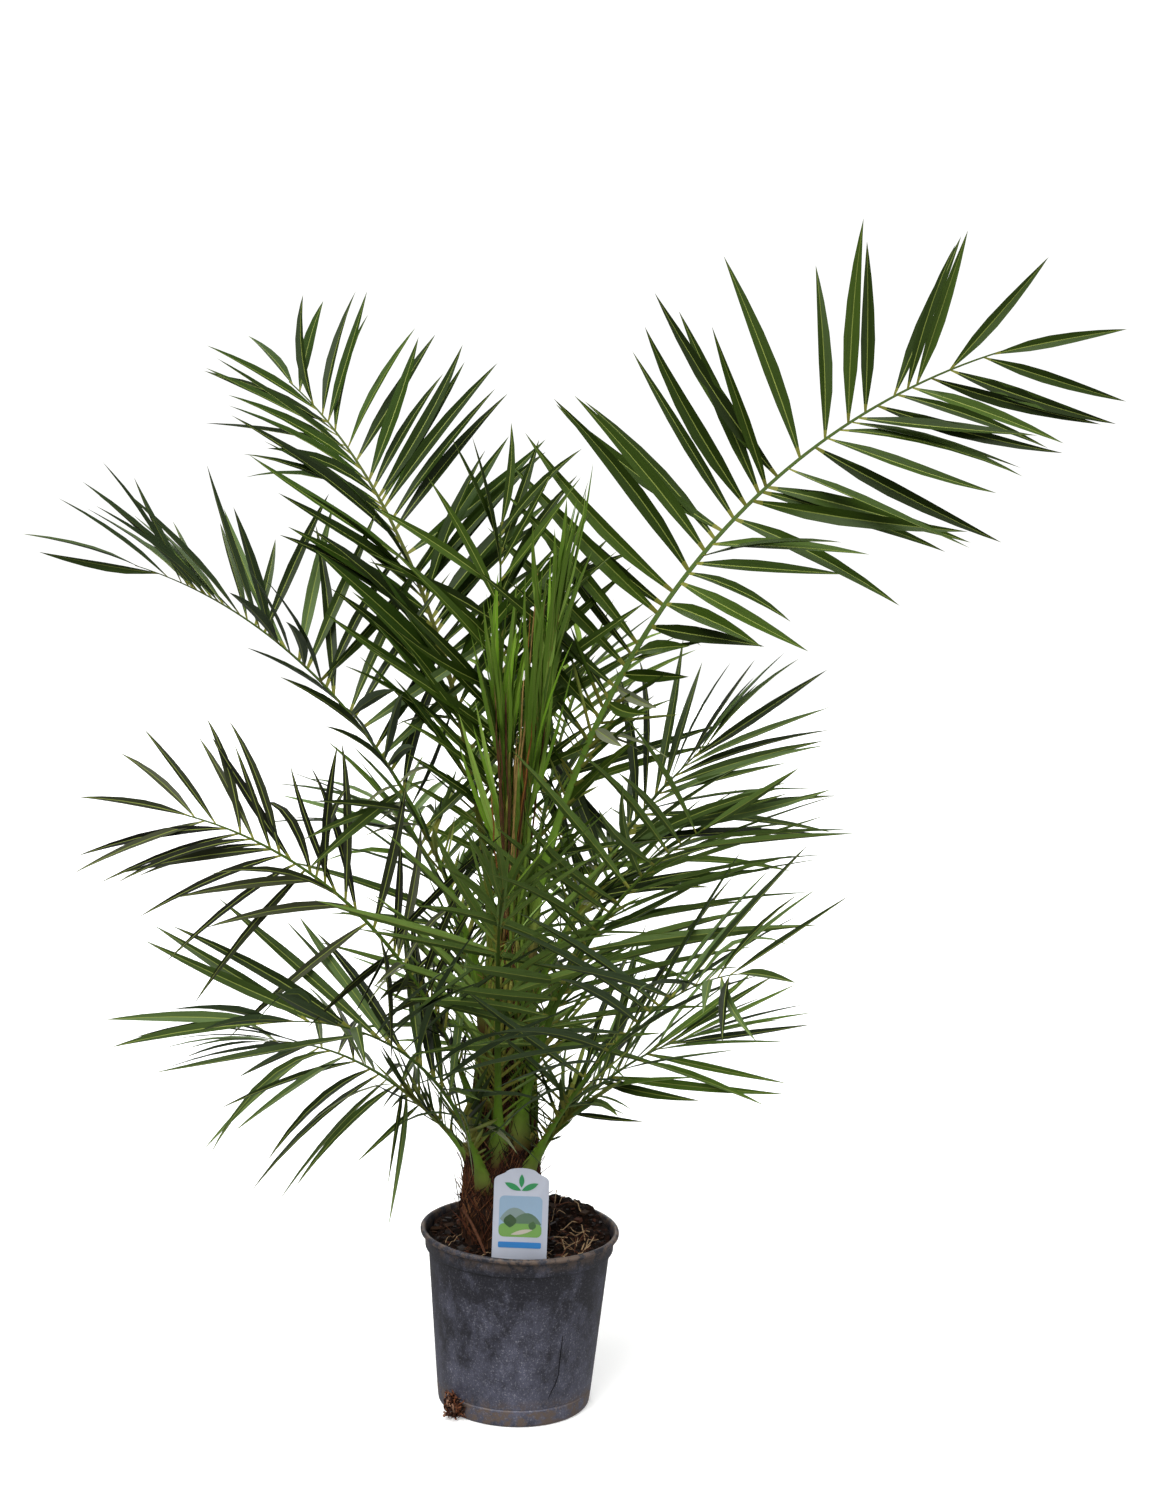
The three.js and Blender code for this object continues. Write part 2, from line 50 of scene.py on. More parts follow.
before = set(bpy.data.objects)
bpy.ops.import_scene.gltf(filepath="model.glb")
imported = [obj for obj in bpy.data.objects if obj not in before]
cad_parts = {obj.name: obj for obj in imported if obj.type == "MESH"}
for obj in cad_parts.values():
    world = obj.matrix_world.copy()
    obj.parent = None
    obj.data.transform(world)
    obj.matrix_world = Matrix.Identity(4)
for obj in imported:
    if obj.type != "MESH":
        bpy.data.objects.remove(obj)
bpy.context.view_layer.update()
POT_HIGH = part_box("pot")[1]
LABEL_LOW, LABEL_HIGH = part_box("plant_label")
TUFT_LOW, TUFT_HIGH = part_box("root_tuft")

MM = 0.001

# ---- Growth rule, in millimetres and degrees ------------------------------

TRUNK_X = -24
TRUNK_HEIGHTS = [192, 230, 270, 330, 400, 470, 530, 565]
TRUNK_RADII = [44, 47, 45, 39, 32, 26, 20, 13]

# Each frond's stalk leaves the trunk at a height and a turn about it (0 is +X, 90 is the back).
# It starts at its rise above level and bends down by its fall, while it sweeps sideways.
# roll and twist turn its blade about the stalk. ahead is a leaflet's angle from the stalk at the
# blade's start, middle and end, and lift is its rise out of the blade's plane, for each side or
# both. COMMON is what a frond has where its own row says nothing else.
COMMON = dict(sweep=0, roll=0, twist=0, turned=0, scatter=16, stalk=25, size=[0.7, 0.92, 1, 0.95, 0.66])
FRONDS = [dict(COMMON, **row) for row in (
    dict(
        name="spear_unopened", turn=-20, height=555, inset=4, rise=87, fall=8, length=420, bare=0.26,
        pairs=8, leaf=225, width=17, droop=0, stalk=15, scatter=60, size=[1, 1, 1, 0.9, 0.8],
        both=dict(ahead=[12, 10, 6], lift=[10, 5]),
    ),
    dict(
        name="spear_young", turn=160, height=552, inset=4, rise=88, fall=5, length=300, roll=40, bare=0.26,
        pairs=6, leaf=200, width=16, droop=0, stalk=13, scatter=60, size=[1, 1, 1, 0.9, 0.8],
        both=dict(ahead=[13, 11, 7], lift=[10, 5]),
    ),
    dict(
        name="frond_top_right", turn=20, height=540, rise=78, fall=59, sweep=-24, length=968, roll=-45,
        twist=-36, bare=0.28, pairs=21, leaf=262, width=24, droop=0.01,
        right=dict(ahead=[84, 56, 30], lift=[45, -8], size=[0.3, 0.42, 0.8, 1, 0.66]),
        left=dict(ahead=[66, 82, 40], lift=[12, 15]),
    ),
    dict(
        name="frond_top_left", turn=136, height=480, rise=82, fall=53, length=905, roll=23, twist=4,
        bare=0.28, pairs=21, leaf=240, width=21, droop=0.04, right=dict(ahead=[50, 64, 42], lift=[22, 27]),
        left=dict(ahead=[42, 55, 36], lift=[26, 32]),
    ),
    dict(
        name="frond_back_tall", turn=118, height=500, rise=84, fall=-2, length=560, bare=0.36, pairs=14,
        leaf=215, width=18, droop=0.03, both=dict(ahead=[62, 55, 22], lift=[15, 10]),
    ),
    dict(
        name="frond_left_upper", turn=176, height=455, rise=75, fall=61, sweep=-6, length=738, roll=29,
        twist=-32, bare=0.32, pairs=18, leaf=250, width=20, droop=0.03,
        right=dict(ahead=[66, 62, 24], lift=[58, 20]), left=dict(ahead=[58, 68, 18], lift=[14, 36]),
    ),
    dict(
        name="frond_right_back", turn=36, height=452, rise=65, fall=24, sweep=-20, length=425, roll=-11,
        twist=-10, bare=0.38, pairs=16, leaf=262, width=19, droop=0.01,
        right=dict(ahead=[40, 38, 12], lift=[10, -12]), left=dict(ahead=[62, 54, 18], lift=[10, -20]),
    ),
    dict(
        name="frond_back_upper", turn=78, height=425, rise=71, fall=46, length=600, bare=0.32, pairs=14,
        leaf=230, width=19, droop=0.06, both=dict(ahead=[64, 56, 24], lift=[24, 12]),
    ),
    dict(
        name="frond_left_middle", turn=208, height=330, rise=70, fall=56, sweep=-20, length=550, roll=28,
        twist=18, bare=0.28, pairs=16, leaf=215, width=15, droop=0.16,
        right=dict(ahead=[72, 56, 28], lift=[46, 12]), left=dict(ahead=[65, 62, 26], lift=[20, -16]),
    ),
    dict(
        name="frond_right_middle", turn=-58, height=322, rise=73, fall=40, sweep=24, length=505, roll=28,
        twist=16, bare=0.24, pairs=17, leaf=262, width=17, droop=0.05, size=[0.5, 0.85, 1, 0.95, 0.66],
        right=dict(ahead=[67, 46, 42], lift=[-26, -4]), left=dict(ahead=[75, 46, 34], lift=[14, 4]),
    ),
    dict(
        name="frond_front", turn=-98, height=300, rise=78, fall=46, sweep=14, length=440, bare=0.26,
        pairs=13, leaf=220, width=17, droop=0.04, both=dict(ahead=[66, 52, 20], lift=[26, 10]),
    ),
    dict(
        name="frond_back_left", turn=116, height=368, rise=62, fall=56, sweep=6, length=520, bare=0.33,
        pairs=13, leaf=225, width=19, droop=0.08, both=dict(ahead=[64, 56, 24], lift=[24, 8]),
    ),
    dict(
        name="frond_back_right", turn=62, height=350, rise=60, fall=56, sweep=-8, length=500, bare=0.33,
        pairs=13, leaf=225, width=19, droop=0.08, both=dict(ahead=[64, 56, 24], lift=[22, 6]),
    ),
    dict(
        name="frond_left_front", turn=236, height=268, rise=66, fall=71, sweep=-30, length=422, roll=21,
        twist=-31, bare=0.22, pairs=14, leaf=262, width=19, droop=0.03, turned=-40,
        size=[0.35, 0.7, 1, 0.95, 0.7], right=dict(ahead=[66, 52, 16], lift=[29, 14]),
        left=dict(ahead=[74, 70, 28], lift=[38, 14]),
    ),
    dict(
        name="frond_right_front", turn=-37, height=280, rise=60, fall=46, sweep=-26, length=495, roll=-12,
        twist=-7, bare=0.22, pairs=16, leaf=250, width=17, droop=0.06, size=[0.4, 0.8, 1, 0.95, 0.66],
        right=dict(ahead=[80, 72, 26], lift=[28, 8]), left=dict(ahead=[82, 76, 16], lift=[28, 12]),
    ),
    dict(
        name="frond_left_low", turn=166, height=284, rise=46, fall=58, sweep=-10, length=330, roll=-8,
        bare=0.3, pairs=12, leaf=212, width=14, droop=0.1, size=[0.5, 0.8, 1, 0.95, 0.7],
        right=dict(ahead=[66, 52, 20], lift=[0, 0]), left=dict(ahead=[84, 70, 22], lift=[-36, -14]),
    ),
    dict(
        name="frond_right_low", turn=4, height=284, rise=58, fall=42, sweep=4, length=260, twist=-10,
        bare=0.3, pairs=11, leaf=222, width=16, droop=0.02, size=[0.5, 0.75, 1, 0.95, 0.7],
        right=dict(ahead=[72, 46, 16], lift=[-4, 2]), left=dict(ahead=[64, 44, 16], lift=[6, 0]),
    ),
    dict(
        name="frond_back_low", turn=96, height=292, rise=50, fall=58, length=370, bare=0.36, pairs=11,
        leaf=225, width=19, droop=0.12, both=dict(ahead=[66, 54, 20], lift=[8, 0]),
    ),
)]
STALK = dict(taper=[0, 0.07, 0.2, 0.45, 1], share=[1, 0.62, 0.42, 0.3, 0.09], flat=0.62, steps=20)
LEAFLET = dict(
    widest=0.38, foot=0.26, foot_on_stalk=0.42, thick=1 / 88, root=0.12,
    size_at=[0, 0.12, 0.35, 0.6, 1], girth=[0.62, 1, 0.8], girth_at=[0, 0.25, 1],
)
# What a leaflet tries in turn where its way is taken: more ahead, more lift, share of its length.
TRIES = [
    (0, 0, 1), (7, 0, 1), (-7, 0, 1), (0, 12, 1), (0, -12, 1), (10, 14, 1), (-10, -14, 1), (-10, 14, 1),
    (10, -14, 1), (0, 26, 1), (0, -26, 1), (18, 20, 0.92), (-18, -20, 0.92), (0, 0, 0.8), (0, 20, 0.8),
    (0, -20, 0.8), (16, 0, 0.66), (-16, 0, 0.66), (0, 0, 0.5),
]
FOUND = 0.4  # a leaflet's tip lies this near a corner of the frame where that try was taken


def dice_of(seed):
    """A seeded dice: the same throws on every run."""
    state = seed
    while True:
        state = state * 16807 % 2147483647
        yield state / 2147483647 - 0.5


def along(x, places, values):
    """The value at x of the straight stretches through (places, values)."""
    return float(np.interp(x, places, values))


def polar(radius, turn):
    """The x and y at a radius and a turn about the upright axis."""
    return radius * cos(turn), radius * sin(turn)


def unit(vector):
    return vector / np.linalg.norm(vector)


def turned_about(vector, axis, angle):
    """vector, which is square to axis, turned about it."""
    return vector * cos(angle) + np.cross(axis, vector) * sin(angle)


def trunk_radius(height):
    return along(height, TRUNK_HEIGHTS, TRUNK_RADII)


class StalkCurve:
    """A frond's stalk, from inside the trunk to the blade's tip."""

    def __init__(self, frond, steps=STALK["steps"]):
        self.frond, self.steps = frond, steps
        start = frond.get("inset", 0.7 * trunk_radius(frond["height"]))
        x, y = polar(start, radians(frond["turn"]))
        places = [np.array([TRUNK_X + x, y, frond["height"]])]
        for i in range(steps):
            places.append(places[-1] + self.heading((i + 0.5) / steps) * frond["length"] / steps)
        self.places = np.array(places)

    def round(self, t):
        return radians(self.frond["turn"] + self.frond["sweep"] * t)

    def heading(self, t):
        up = radians(self.frond["rise"] - self.frond["fall"] * t**1.4)
        return np.array([*polar(cos(up), self.round(t)), sin(up)])

    def at(self, t):
        """The place at a share of the length, with the directions ahead, to the right and up."""
        index = min(self.steps - 1, int(t * self.steps))
        step = t * self.steps - index
        place = self.places[index] * (1 - step) + self.places[index + 1] * step
        ahead = self.heading(t)
        flat_side = np.array([sin(self.round(t)), -cos(self.round(t)), 0])
        roll = radians(self.frond["roll"] + self.frond["twist"] * t)
        side = flat_side * cos(roll) + np.cross(flat_side, ahead) * sin(roll)
        return place, ahead, side, np.cross(side, ahead)

    def width(self, t):
        return self.frond["stalk"] * along(t, STALK["taper"], STALK["share"])


def leaflets_of(frond, seed):
    """Every leaflet of a frond with its throws of the dice, in the order in which they grow."""
    dice = dice_of(seed * 7919 + 11)
    curve = StalkCurve(frond)
    leaflets = []
    for i in range(frond["pairs"]):
        for hand in (1, -1):
            throws = [next(dice) for _ in range(6)]
            u = min(1, max(0, (i + 0.5 + 0.22 * hand + 0.5 * throws[0]) / frond["pairs"]))
            t = frond["bare"] + (0.985 - frond["bare"]) * u
            habit = frond.get("both") or frond["right" if hand > 0 else "left"]
            girth = along(u, LEAFLET["girth_at"], LEAFLET["girth"])
            half = frond["width"] / 2 * girth * (1 + 0.2 * throws[4])
            size = along(u, LEAFLET["size_at"], habit.get("size", frond["size"]))
            leaflets.append(dict(
                hand=hand, t=t, u=u, half=half,
                ahead=along(u, [0, 0.5, 1], habit["ahead"]) + 14 * throws[1],
                lift=along(u, [0, 1], habit["lift"]) + frond["scatter"] * throws[2],
                length=frond["leaf"] * size * (1 + 0.16 * throws[3]),
                foot=min(LEAFLET["foot"] * half, LEAFLET["foot_on_stalk"] * curve.width(t)),
                root=LEAFLET["root"] * curve.width(t),
                turn=radians(frond["turned"] * hand + 40 * throws[5]),
                droop=frond["droop"],
            ))
    return leaflets


def aimed(curve, leaflet):
    """Where a leaflet starts and the directions of its length, width and keel, with its length."""
    place, forward, side, top = curve.at(leaflet["t"])
    ahead, lift = radians(leaflet["ahead"]), radians(leaflet["lift"])
    hand = leaflet["hand"]
    out = side * cos(lift) * hand + top * sin(lift)
    way = forward * cos(ahead) + out * sin(ahead)
    flat = unit(forward - way * forward.dot(way)) * hand
    across = turned_about(flat, way, leaflet["turn"])
    start = place + side * hand * leaflet["root"]
    return start, way, across, np.cross(across, way), leaflet["length"]


def grown_leaflets(frond, index):
    """The leaflets that the frame's frond has, each as the try that it took."""
    curve = StalkCurve(frond)
    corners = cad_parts[frond["name"]].data.vertices
    tree = KDTree(len(corners))
    for number, corner in enumerate(corners):
        tree.insert(corner.co / MM, number)
    tree.balance()
    grown = []
    for leaflet in leaflets_of(frond, index + 1):
        for more_ahead, more_lift, share in TRIES:
            tried = dict(leaflet, ahead=leaflet["ahead"] + more_ahead, lift=leaflet["lift"] + more_lift)
            tried["length"] *= share
            start, way, _, below, length = aimed(curve, tried)
            tip = start + way * length + below * 0.4 * length * LEAFLET["thick"]
            tip[2] -= leaflet["droop"] * length
            if tree.find(Vector(tip))[2] < FOUND:
                grown.append(tried)
                break
    return grown


# ---- Sizes and colours that a user would change ---------------------------


def linear(code):
    """An sRGB hex colour as linear red, green and blue."""
    parts = [int(code[i:i + 2], 16) / 255 for i in (1, 3, 5)]
    return tuple(c / 12.92 if c <= 0.04045 else ((c + 0.055) / 1.055) ** 2.4 for c in parts)


def length_of(name, default, description):
    return bpy.props.FloatProperty(name=name, default=default, description=description, unit="LENGTH", min=0)


def color_of(name, code, description):
    return bpy.props.FloatVectorProperty(
        name=name, default=linear(code), description=description, subtype="COLOR", size=3, min=0, max=1
    )


class PotSettings(bpy.types.PropertyGroup):
    rim: length_of("Rim", POT_HIGH.x, "Outer radius of the rolled lip")
    height: length_of("Height", POT_HIGH.z, "Height of the pot")
    base: length_of("Base", 92 * MM, "Outer radius at the underside")
    wall: length_of("Wall", 2 * MM, "Thickness of the wall")
    plastic: color_of("Plastic", "#191922", "Colour of the clean plastic")
    dust: color_of("Dust", "#5b5c6d", "Colour of the dried-on dust")


class CompostSettings(bpy.types.PropertyGroup):
    level: length_of("Level", 199 * MM, "Height of the compost's surface")
    mound: length_of("Mound", 24 * MM, "Height of the mound at the back right")
    chips: bpy.props.IntProperty(name="Chips", default=760, min=0, description="Bark chips on the surface")
    straws: bpy.props.IntProperty(name="Straws", default=120, min=0, description="Straws and rootlets")
    color: color_of("Compost", "#120803", "Colour of the moist compost")


class TrunkSettings(bpy.types.PropertyGroup):
    relief: length_of("Relief", 3.2 * MM, "Depth of the sheaths' relief")
    strands: bpy.props.IntProperty(name="Strands", default=1500, min=0, description="Loose fibres")
    fibre: color_of("Fibre", "#45260f", "Colour of the sheath fibre")


class FrondSettings(bpy.types.PropertyGroup):
    slimness: bpy.props.FloatProperty(
        name="Slimness", default=0.84, min=0.1, max=1, description="Leaflet width over that of the solids"
    )
    fullness: bpy.props.FloatProperty(
        name="Fullness", default=1, min=0, max=1.5, description="Number of finer leaflets in the gaps"
    )
    fold: bpy.props.FloatProperty(name="Fold", default=0.42, min=0, description="Rise of a blade's edges")
    stalk: color_of("Stalk", "#46601c", "Colour of the leaf stalks")


class LabelSettings(bpy.types.PropertyGroup):
    ground: color_of("Ground", "#b7bcc9", "Colour of the bare label")
    band: color_of("Band", "#2f78b8", "Colour of the label's band")
    leaf: color_of("Leaf print", "#2f8a52", "Colour of the printed leaves")


class StageSettings(bpy.types.PropertyGroup):
    floor: color_of("Floor", "#f1f1f0", "Colour of the floor and backdrop")
    key: bpy.props.FloatProperty(name="Key light", default=3.15, min=0, description="Main light's strength")
    lens: bpy.props.FloatProperty(name="Lens", default=49, min=1, unit="CAMERA", description="Focal length")


# ---- Materials ------------------------------------------------------------


def add(tree, kind, inputs=None, stops=None, **settings):
    """Adds one node with its settings; stops are a ramp's. An input is a value, an output or a node.

    MapRange takes its value as input 0, the range from as 1 and 2, and the range to as 3 and 4. Mix
    takes the share of its second colour as input 0, and its two colours as 6 and 7.
    """
    node = tree.nodes.new("ShaderNode" + kind)
    for name, value in settings.items():
        setattr(node, name, value)
    if stops:
        ramp = node.color_ramp
        while len(ramp.elements) < len(stops):
            ramp.elements.new(1)
        for element, (position, color) in zip(ramp.elements, stops):
            element.position, element.color = position, (*color, 1)
    for name, value in (inputs or {}).items():
        if isinstance(value, bpy.types.Node):
            value = value.outputs[0]
        if isinstance(value, bpy.types.NodeSocket):
            tree.links.new(value, node.inputs[name])
        else:
            node.inputs[name].default_value = value
    return node


def new_material(name):
    """An empty material, with its node tree."""
    material = bpy.data.materials.new(name)
    material.use_nodes = True
    material.node_tree.nodes.clear()
    return material, material.node_tree


def grain(size_mm):
    """The noise scale that gives features of a real size."""
    return 1 / (size_mm * MM)


BLACK, WHITE = (0, 0, 0), (1, 1, 1)


def moulded_polypropylene(settings):
    """Recycled polypropylene, injection moulded: dull, finely pebbled, with dust, lime and soil dried on."""
    material, tree = new_material("moulded_polypropylene")
    place = add(tree, "TexCoord").outputs["Object"]
    streaks = add(tree, "Mapping", {"Vector": place, "Scale": (1, 1, 0.7)})
    haze = add(tree, "TexNoise", {
        "Vector": streaks, "Scale": grain(30), "Detail": 9, "Roughness": 0.78,
    })
    height = add(tree, "SeparateXYZ", {0: place}).outputs[2]
    # The dust colour's share grows towards the foot and thins towards the collar, so the wall is paler low
    # down and darker high up.
    paler_towards_foot = add(tree, "MapRange", {0: height, 1: 0.03, 2: settings.height - 0.03, 3: 0.1, 4: -0.1})
    haze_and_height = add(tree, "Math", {0: haze, 1: paler_towards_foot}, operation="ADD")
    haze_share = add(tree, "ValToRGB", {0: haze_and_height}, stops=[(0.40, BLACK), (0.74, WHITE)])
    worn = add(tree, "Mix", {
        0: haze_share, 6: (*settings.plastic, 1), 7: (*settings.dust, 1),
    }, data_type="RGBA")
    # Lime specks and scuffs, a millimetre or two across.
    speck = add(tree, "TexNoise", {"Vector": place, "Scale": grain(2.2), "Detail": 4, "Roughness": 0.75})
    flecks = add(tree, "ValToRGB", {0: speck}, stops=[(0.55, BLACK), (0.76, WHITE)])
    kept = add(tree, "MapRange", {0: haze_and_height, 1: 0.4, 2: 0.62, 3: 0.35, 4: 1.0})
    speck_share = add(tree, "Math", {0: flecks, 1: kept}, operation="MULTIPLY")
    limed = add(tree, "Mix", {
        0: speck_share, 6: worn.outputs[2], 7: (*linear("#a2a2aa"), 1),
    }, data_type="RGBA")
    # Brown soil stays on the lip and low on the wall.
    low = add(tree, "MapRange", {0: height, 1: 0.018, 2: 0.036, 3: 0.9, 4: 0.0})
    lip = settings.height - 0.004
    high = add(tree, "MapRange", {0: height, 1: lip - 0.016, 2: lip, 3: 0.0, 4: 1.0})
    where = add(tree, "Math", {0: low, 1: high}, operation="MAXIMUM")
    patch = add(tree, "TexNoise", {"Vector": place, "Scale": grain(13), "Detail": 7, "Roughness": 0.7})
    patch_share = add(tree, "ValToRGB", {0: patch}, stops=[(0.45, BLACK), (0.56, WHITE)])
    soiled = add(tree, "Math", {0: where, 1: patch_share}, operation="MULTIPLY")
    color = add(
        tree, "Mix", {0: soiled, 6: limed.outputs[2], 7: (*linear("#5e4f44"), 1)}, data_type="RGBA"
    )
    pebble = add(tree, "TexNoise", {"Vector": place, "Scale": grain(1.4), "Detail": 2})
    bump = add(tree, "Bump", {"Height": pebble, "Strength": 0.3, "Distance": 0.5 * MM})
    dull = add(tree, "MapRange", {0: haze, 1: 0.3, 2: 0.7, 3: 0.44, 4: 0.68})
    shader = add(tree, "BsdfPrincipled", {
        "Base Color": color.outputs[2], "Roughness": dull, "IOR": 1.49, "Normal": bump,
    })
    add(tree, "OutputMaterial", {0: shader})
    return material


def moist_compost(settings):
    """Peat-free compost, watered: almost black crumbs that drink the light, with paler dry grains."""
    material, tree = new_material("moist_compost")
    place = add(tree, "TexCoord").outputs["Object"]
    crumb = add(tree, "TexNoise", {"Vector": place, "Scale": grain(6), "Detail": 8, "Roughness": 0.75})
    color = add(tree, "ValToRGB", {0: crumb}, stops=[
        (0.34, linear("#050201")), (0.5, tuple(settings.color)), (0.62, linear("#2b180f")),
        (0.8, linear("#4a3020")),
    ])
    bump = add(tree, "Bump", {"Height": crumb, "Strength": 0.9, "Distance": 2 * MM})
    shader = add(tree, "BsdfPrincipled", {
        "Base Color": color, "Roughness": 0.86, "IOR": 1.4, "Normal": bump,
        "Specular IOR Level": 0.15,
    })
    add(tree, "OutputMaterial", {0: shader})
    return material


def plain_stuff(name, code, roughness, mottle_mm, dark=0.6):
    """Dry plant stuff of one colour, mottled darker at a real size, such as bark, straw or root."""
    material, tree = new_material(name)
    place = add(tree, "TexCoord").outputs["Object"]
    mottle = add(tree, "TexNoise", {
        "Vector": place, "Scale": grain(mottle_mm), "Detail": 4, "Roughness": 0.6,
    })
    base = linear(code)
    deep = tuple(c * dark for c in base)
    color = add(tree, "ValToRGB", {0: mottle}, stops=[(0.36, deep), (0.62, base)])
    relief = add(tree, "Bump", {"Height": mottle, "Strength": 0.3, "Distance": 0.5 * MM})
    shader = add(tree, "BsdfPrincipled", {
        "Base Color": color, "Roughness": roughness, "IOR": 1.45, "Normal": relief,
        "Specular IOR Level": 0.25,
    })
    add(tree, "OutputMaterial", {0: shader})
    return material


def plain_stuffs(*rows):
    return [plain_stuff(*row) for row in rows]


def sheath_fibre(settings):
    """A palm's leaf sheaths: coarse red-brown fibres about a millimetre thick, crossing in a mat."""
    material, tree = new_material("sheath_fibre")
    place = add(tree, "TexCoord").outputs["Object"]
    threads = []
    for turn in (34, -34):
        leaned = add(tree, "Mapping", {
            "Vector": place, "Rotation": (0, radians(turn), 0), "Scale": (1, 1, 0.09),
        })
        threads.append(add(tree, "TexNoise", {
            "Vector": leaned, "Scale": grain(2.6), "Detail": 3, "Roughness": 0.6,
        }))
    mat = add(tree, "Math", {0: threads[0], 1: threads[1]}, operation="MAXIMUM")
    # The ramp paints shade into the mat's low gaps and highlights on its highest threads, over the fibre's
    # own red-brown.
    color = add(tree, "ValToRGB", {0: mat}, stops=[
        (0.46, linear("#1d110a")), (0.56, linear("#3f2617")), (0.64, tuple(settings.fibre)),
        (0.76, linear("#9a6a45")),
    ])
    bump = add(tree, "Bump", {"Height": mat, "Strength": 0.8, "Distance": 1.2 * MM})
    shader = add(tree, "BsdfPrincipled", {
        "Base Color": color, "Roughness": 0.78, "IOR": 1.45, "Normal": bump,
        "Specular IOR Level": 0.25,
    })
    add(tree, "OutputMaterial", {0: shader})
    return material


def stalk_rind(settings, name="stalk_rind", warmth=0.0):
    """A leaf stalk's rind: smooth and waxy, brown at its foot, bright green above it, yellower to its tip."""
    material, tree = new_material(name)
    up = add(tree, "Attribute", attribute_name="share").outputs["Fac"]
    green = np.array(settings.stalk)
    tan = np.array(linear("#5c4824"))
    body = tuple(green * (1 - warmth) + tan * warmth)
    bright = tuple(np.array(linear("#638526")) * (1 - warmth) + tan * warmth)
    color = add(tree, "ValToRGB", {0: up}, stops=[
        (0.0, linear("#4a3018")), (0.045, linear("#667430")), (0.1, bright), (0.4, body),
        (1.0, linear("#3f5219")),
    ])
    place = add(tree, "TexCoord").outputs["Object"]
    blotch = add(tree, "TexNoise", {"Vector": place, "Scale": grain(9), "Detail": 4})
    share = add(tree, "MapRange", {0: blotch, 1: 0.45, 2: 0.75, 3: 0.0, 4: 0.35})
    mixed = add(
        tree, "Mix", {0: share, 6: color, 7: (*linear("#454e20"), 1)}, data_type="RGBA"
    )
    shader = add(tree, "BsdfPrincipled", {
        "Base Color": mixed.outputs[2], "Roughness": 0.5, "IOR": 1.45, "Specular IOR Level": 0.16,
    })
    add(tree, "OutputMaterial", {0: shader})
    return material


def leaf_skin(name, code, roughness=0.46, vein=0.22):
    """A leaflet's waxed skin: one green, with fine veins along it that break up the shine."""
    material, tree = new_material(name)
    strip = add(tree, "UVMap", uv_map="strip")
    drawn = add(tree, "Mapping", {"Vector": strip, "Scale": (9, 0.5, 1)})
    veins = add(tree, "TexNoise", {"Vector": drawn, "Scale": 1.6, "Detail": 2, "Roughness": 0.5})
    base = linear(code)
    color = add(tree, "ValToRGB", {0: veins}, stops=[
        (0.3, tuple(c * (1 - vein) for c in base)), (0.7, tuple(c * (1 + vein) for c in base)),
    ])
    bump = add(tree, "Bump", {"Height": veins, "Strength": 0.25, "Distance": 0.3 * MM})
    shader = add(tree, "BsdfPrincipled", {
        "Base Color": color, "Roughness": roughness, "IOR": 1.45, "Normal": bump,
        "Specular IOR Level": 0.15,
    })
    add(tree, "OutputMaterial", {0: shader})
    return material


def printed_plastic(name, color):
    """Printed polystyrene sheet: an even colour under a smooth, faintly glossy face."""
    material, tree = new_material(name)
    place = add(tree, "TexCoord").outputs["Object"]
    smear = add(tree, "TexNoise", {"Vector": place, "Scale": grain(30), "Detail": 3})
    dirt = add(tree, "MapRange", {0: smear, 1: 0.55, 2: 0.85, 3: 0.0, 4: 0.18})
    mixed = add(
        tree, "Mix", {0: dirt, 6: (*color, 1), 7: (*linear("#8d8478"), 1)}, data_type="RGBA"
    )
    shader = add(tree, "BsdfPrincipled", {
        "Base Color": mixed.outputs[2], "Roughness": 0.35, "IOR": 1.57,
    })
    add(tree, "OutputMaterial", {0: shader})
    return material


def matt_paper(settings):
    """The studio's seamless paper: pale, even and without shine, on a table that is lit from beneath."""
    material, tree = new_material("matt_paper")
    shader = add(tree, "BsdfPrincipled", {
        "Base Color": (*settings.floor, 1), "Roughness": 0.9, "Emission Color": (1, 1, 1, 1),
        "Emission Strength": 0.3,
    })
    add(tree, "OutputMaterial", {0: shader})
    return material


def lit_paper(settings):
    """The backdrop's paper, lit evenly all over, as bright as the lit floor."""
    material, tree = new_material("lit_paper")
    shader = add(tree, "Emission", {"Color": (*settings.floor, 1), "Strength": 1.25})
    add(tree, "OutputMaterial", {0: shader})
    return material


# ---- Making pieces --------------------------------------------------------


def finished(mesh, materials, slot, *nodes, crease=30):
    """Makes a mesh a piece that rides on the plant, smooth but for its creases, and stands for its nodes."""
    piece = bpy.data.objects.new(mesh.name, mesh)
    bpy.context.scene.collection.objects.link(piece)
    for material in materials:
        mesh.materials.append(material)
    mesh.shade_smooth()
    mesh.set_sharp_from_angle(angle=radians(crease))
    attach(piece, "root")
    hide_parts(*nodes)
    return piece


def mesh_of(shape, name):
    """A bmesh with its seams closed and its faces turned outwards, as a mesh."""
    bmesh.ops.remove_doubles(shape, verts=shape.verts, dist=0.01 * MM)
    bmesh.ops.recalc_face_normals(shape, faces=shape.faces)
    mesh = bpy.data.meshes.new(name)
    shape.to_mesh(mesh)
    shape.free()
    return mesh


def spun(profile, segments):
    """A profile of (radius, height) pairs in millimetres, turned about the upright axis."""
    shape = bmesh.new()
    corners = [shape.verts.new((radius * MM, 0, height * MM)) for radius, height in profile]
    edges = [shape.edges.new(pair) for pair in zip(corners, corners[1:])]
    bmesh.ops.spin(
        shape, geom=corners + edges, cent=(0, 0, 0), axis=(0, 0, 1), angle=2 * pi, steps=segments,
        use_merge=True,
    )
    bmesh.ops.remove_doubles(shape, verts=shape.verts, dist=0.01 * MM)
    return shape


def arc(middle, radius, start, end, count):
    """Points of a round stretch of a profile, from a start angle to an end angle."""
    angles = [radians(start + (end - start) * i / (count - 1)) for i in range(count)]
    return [(middle[0] + radius * cos(a), middle[1] + radius * sin(a)) for a in angles]


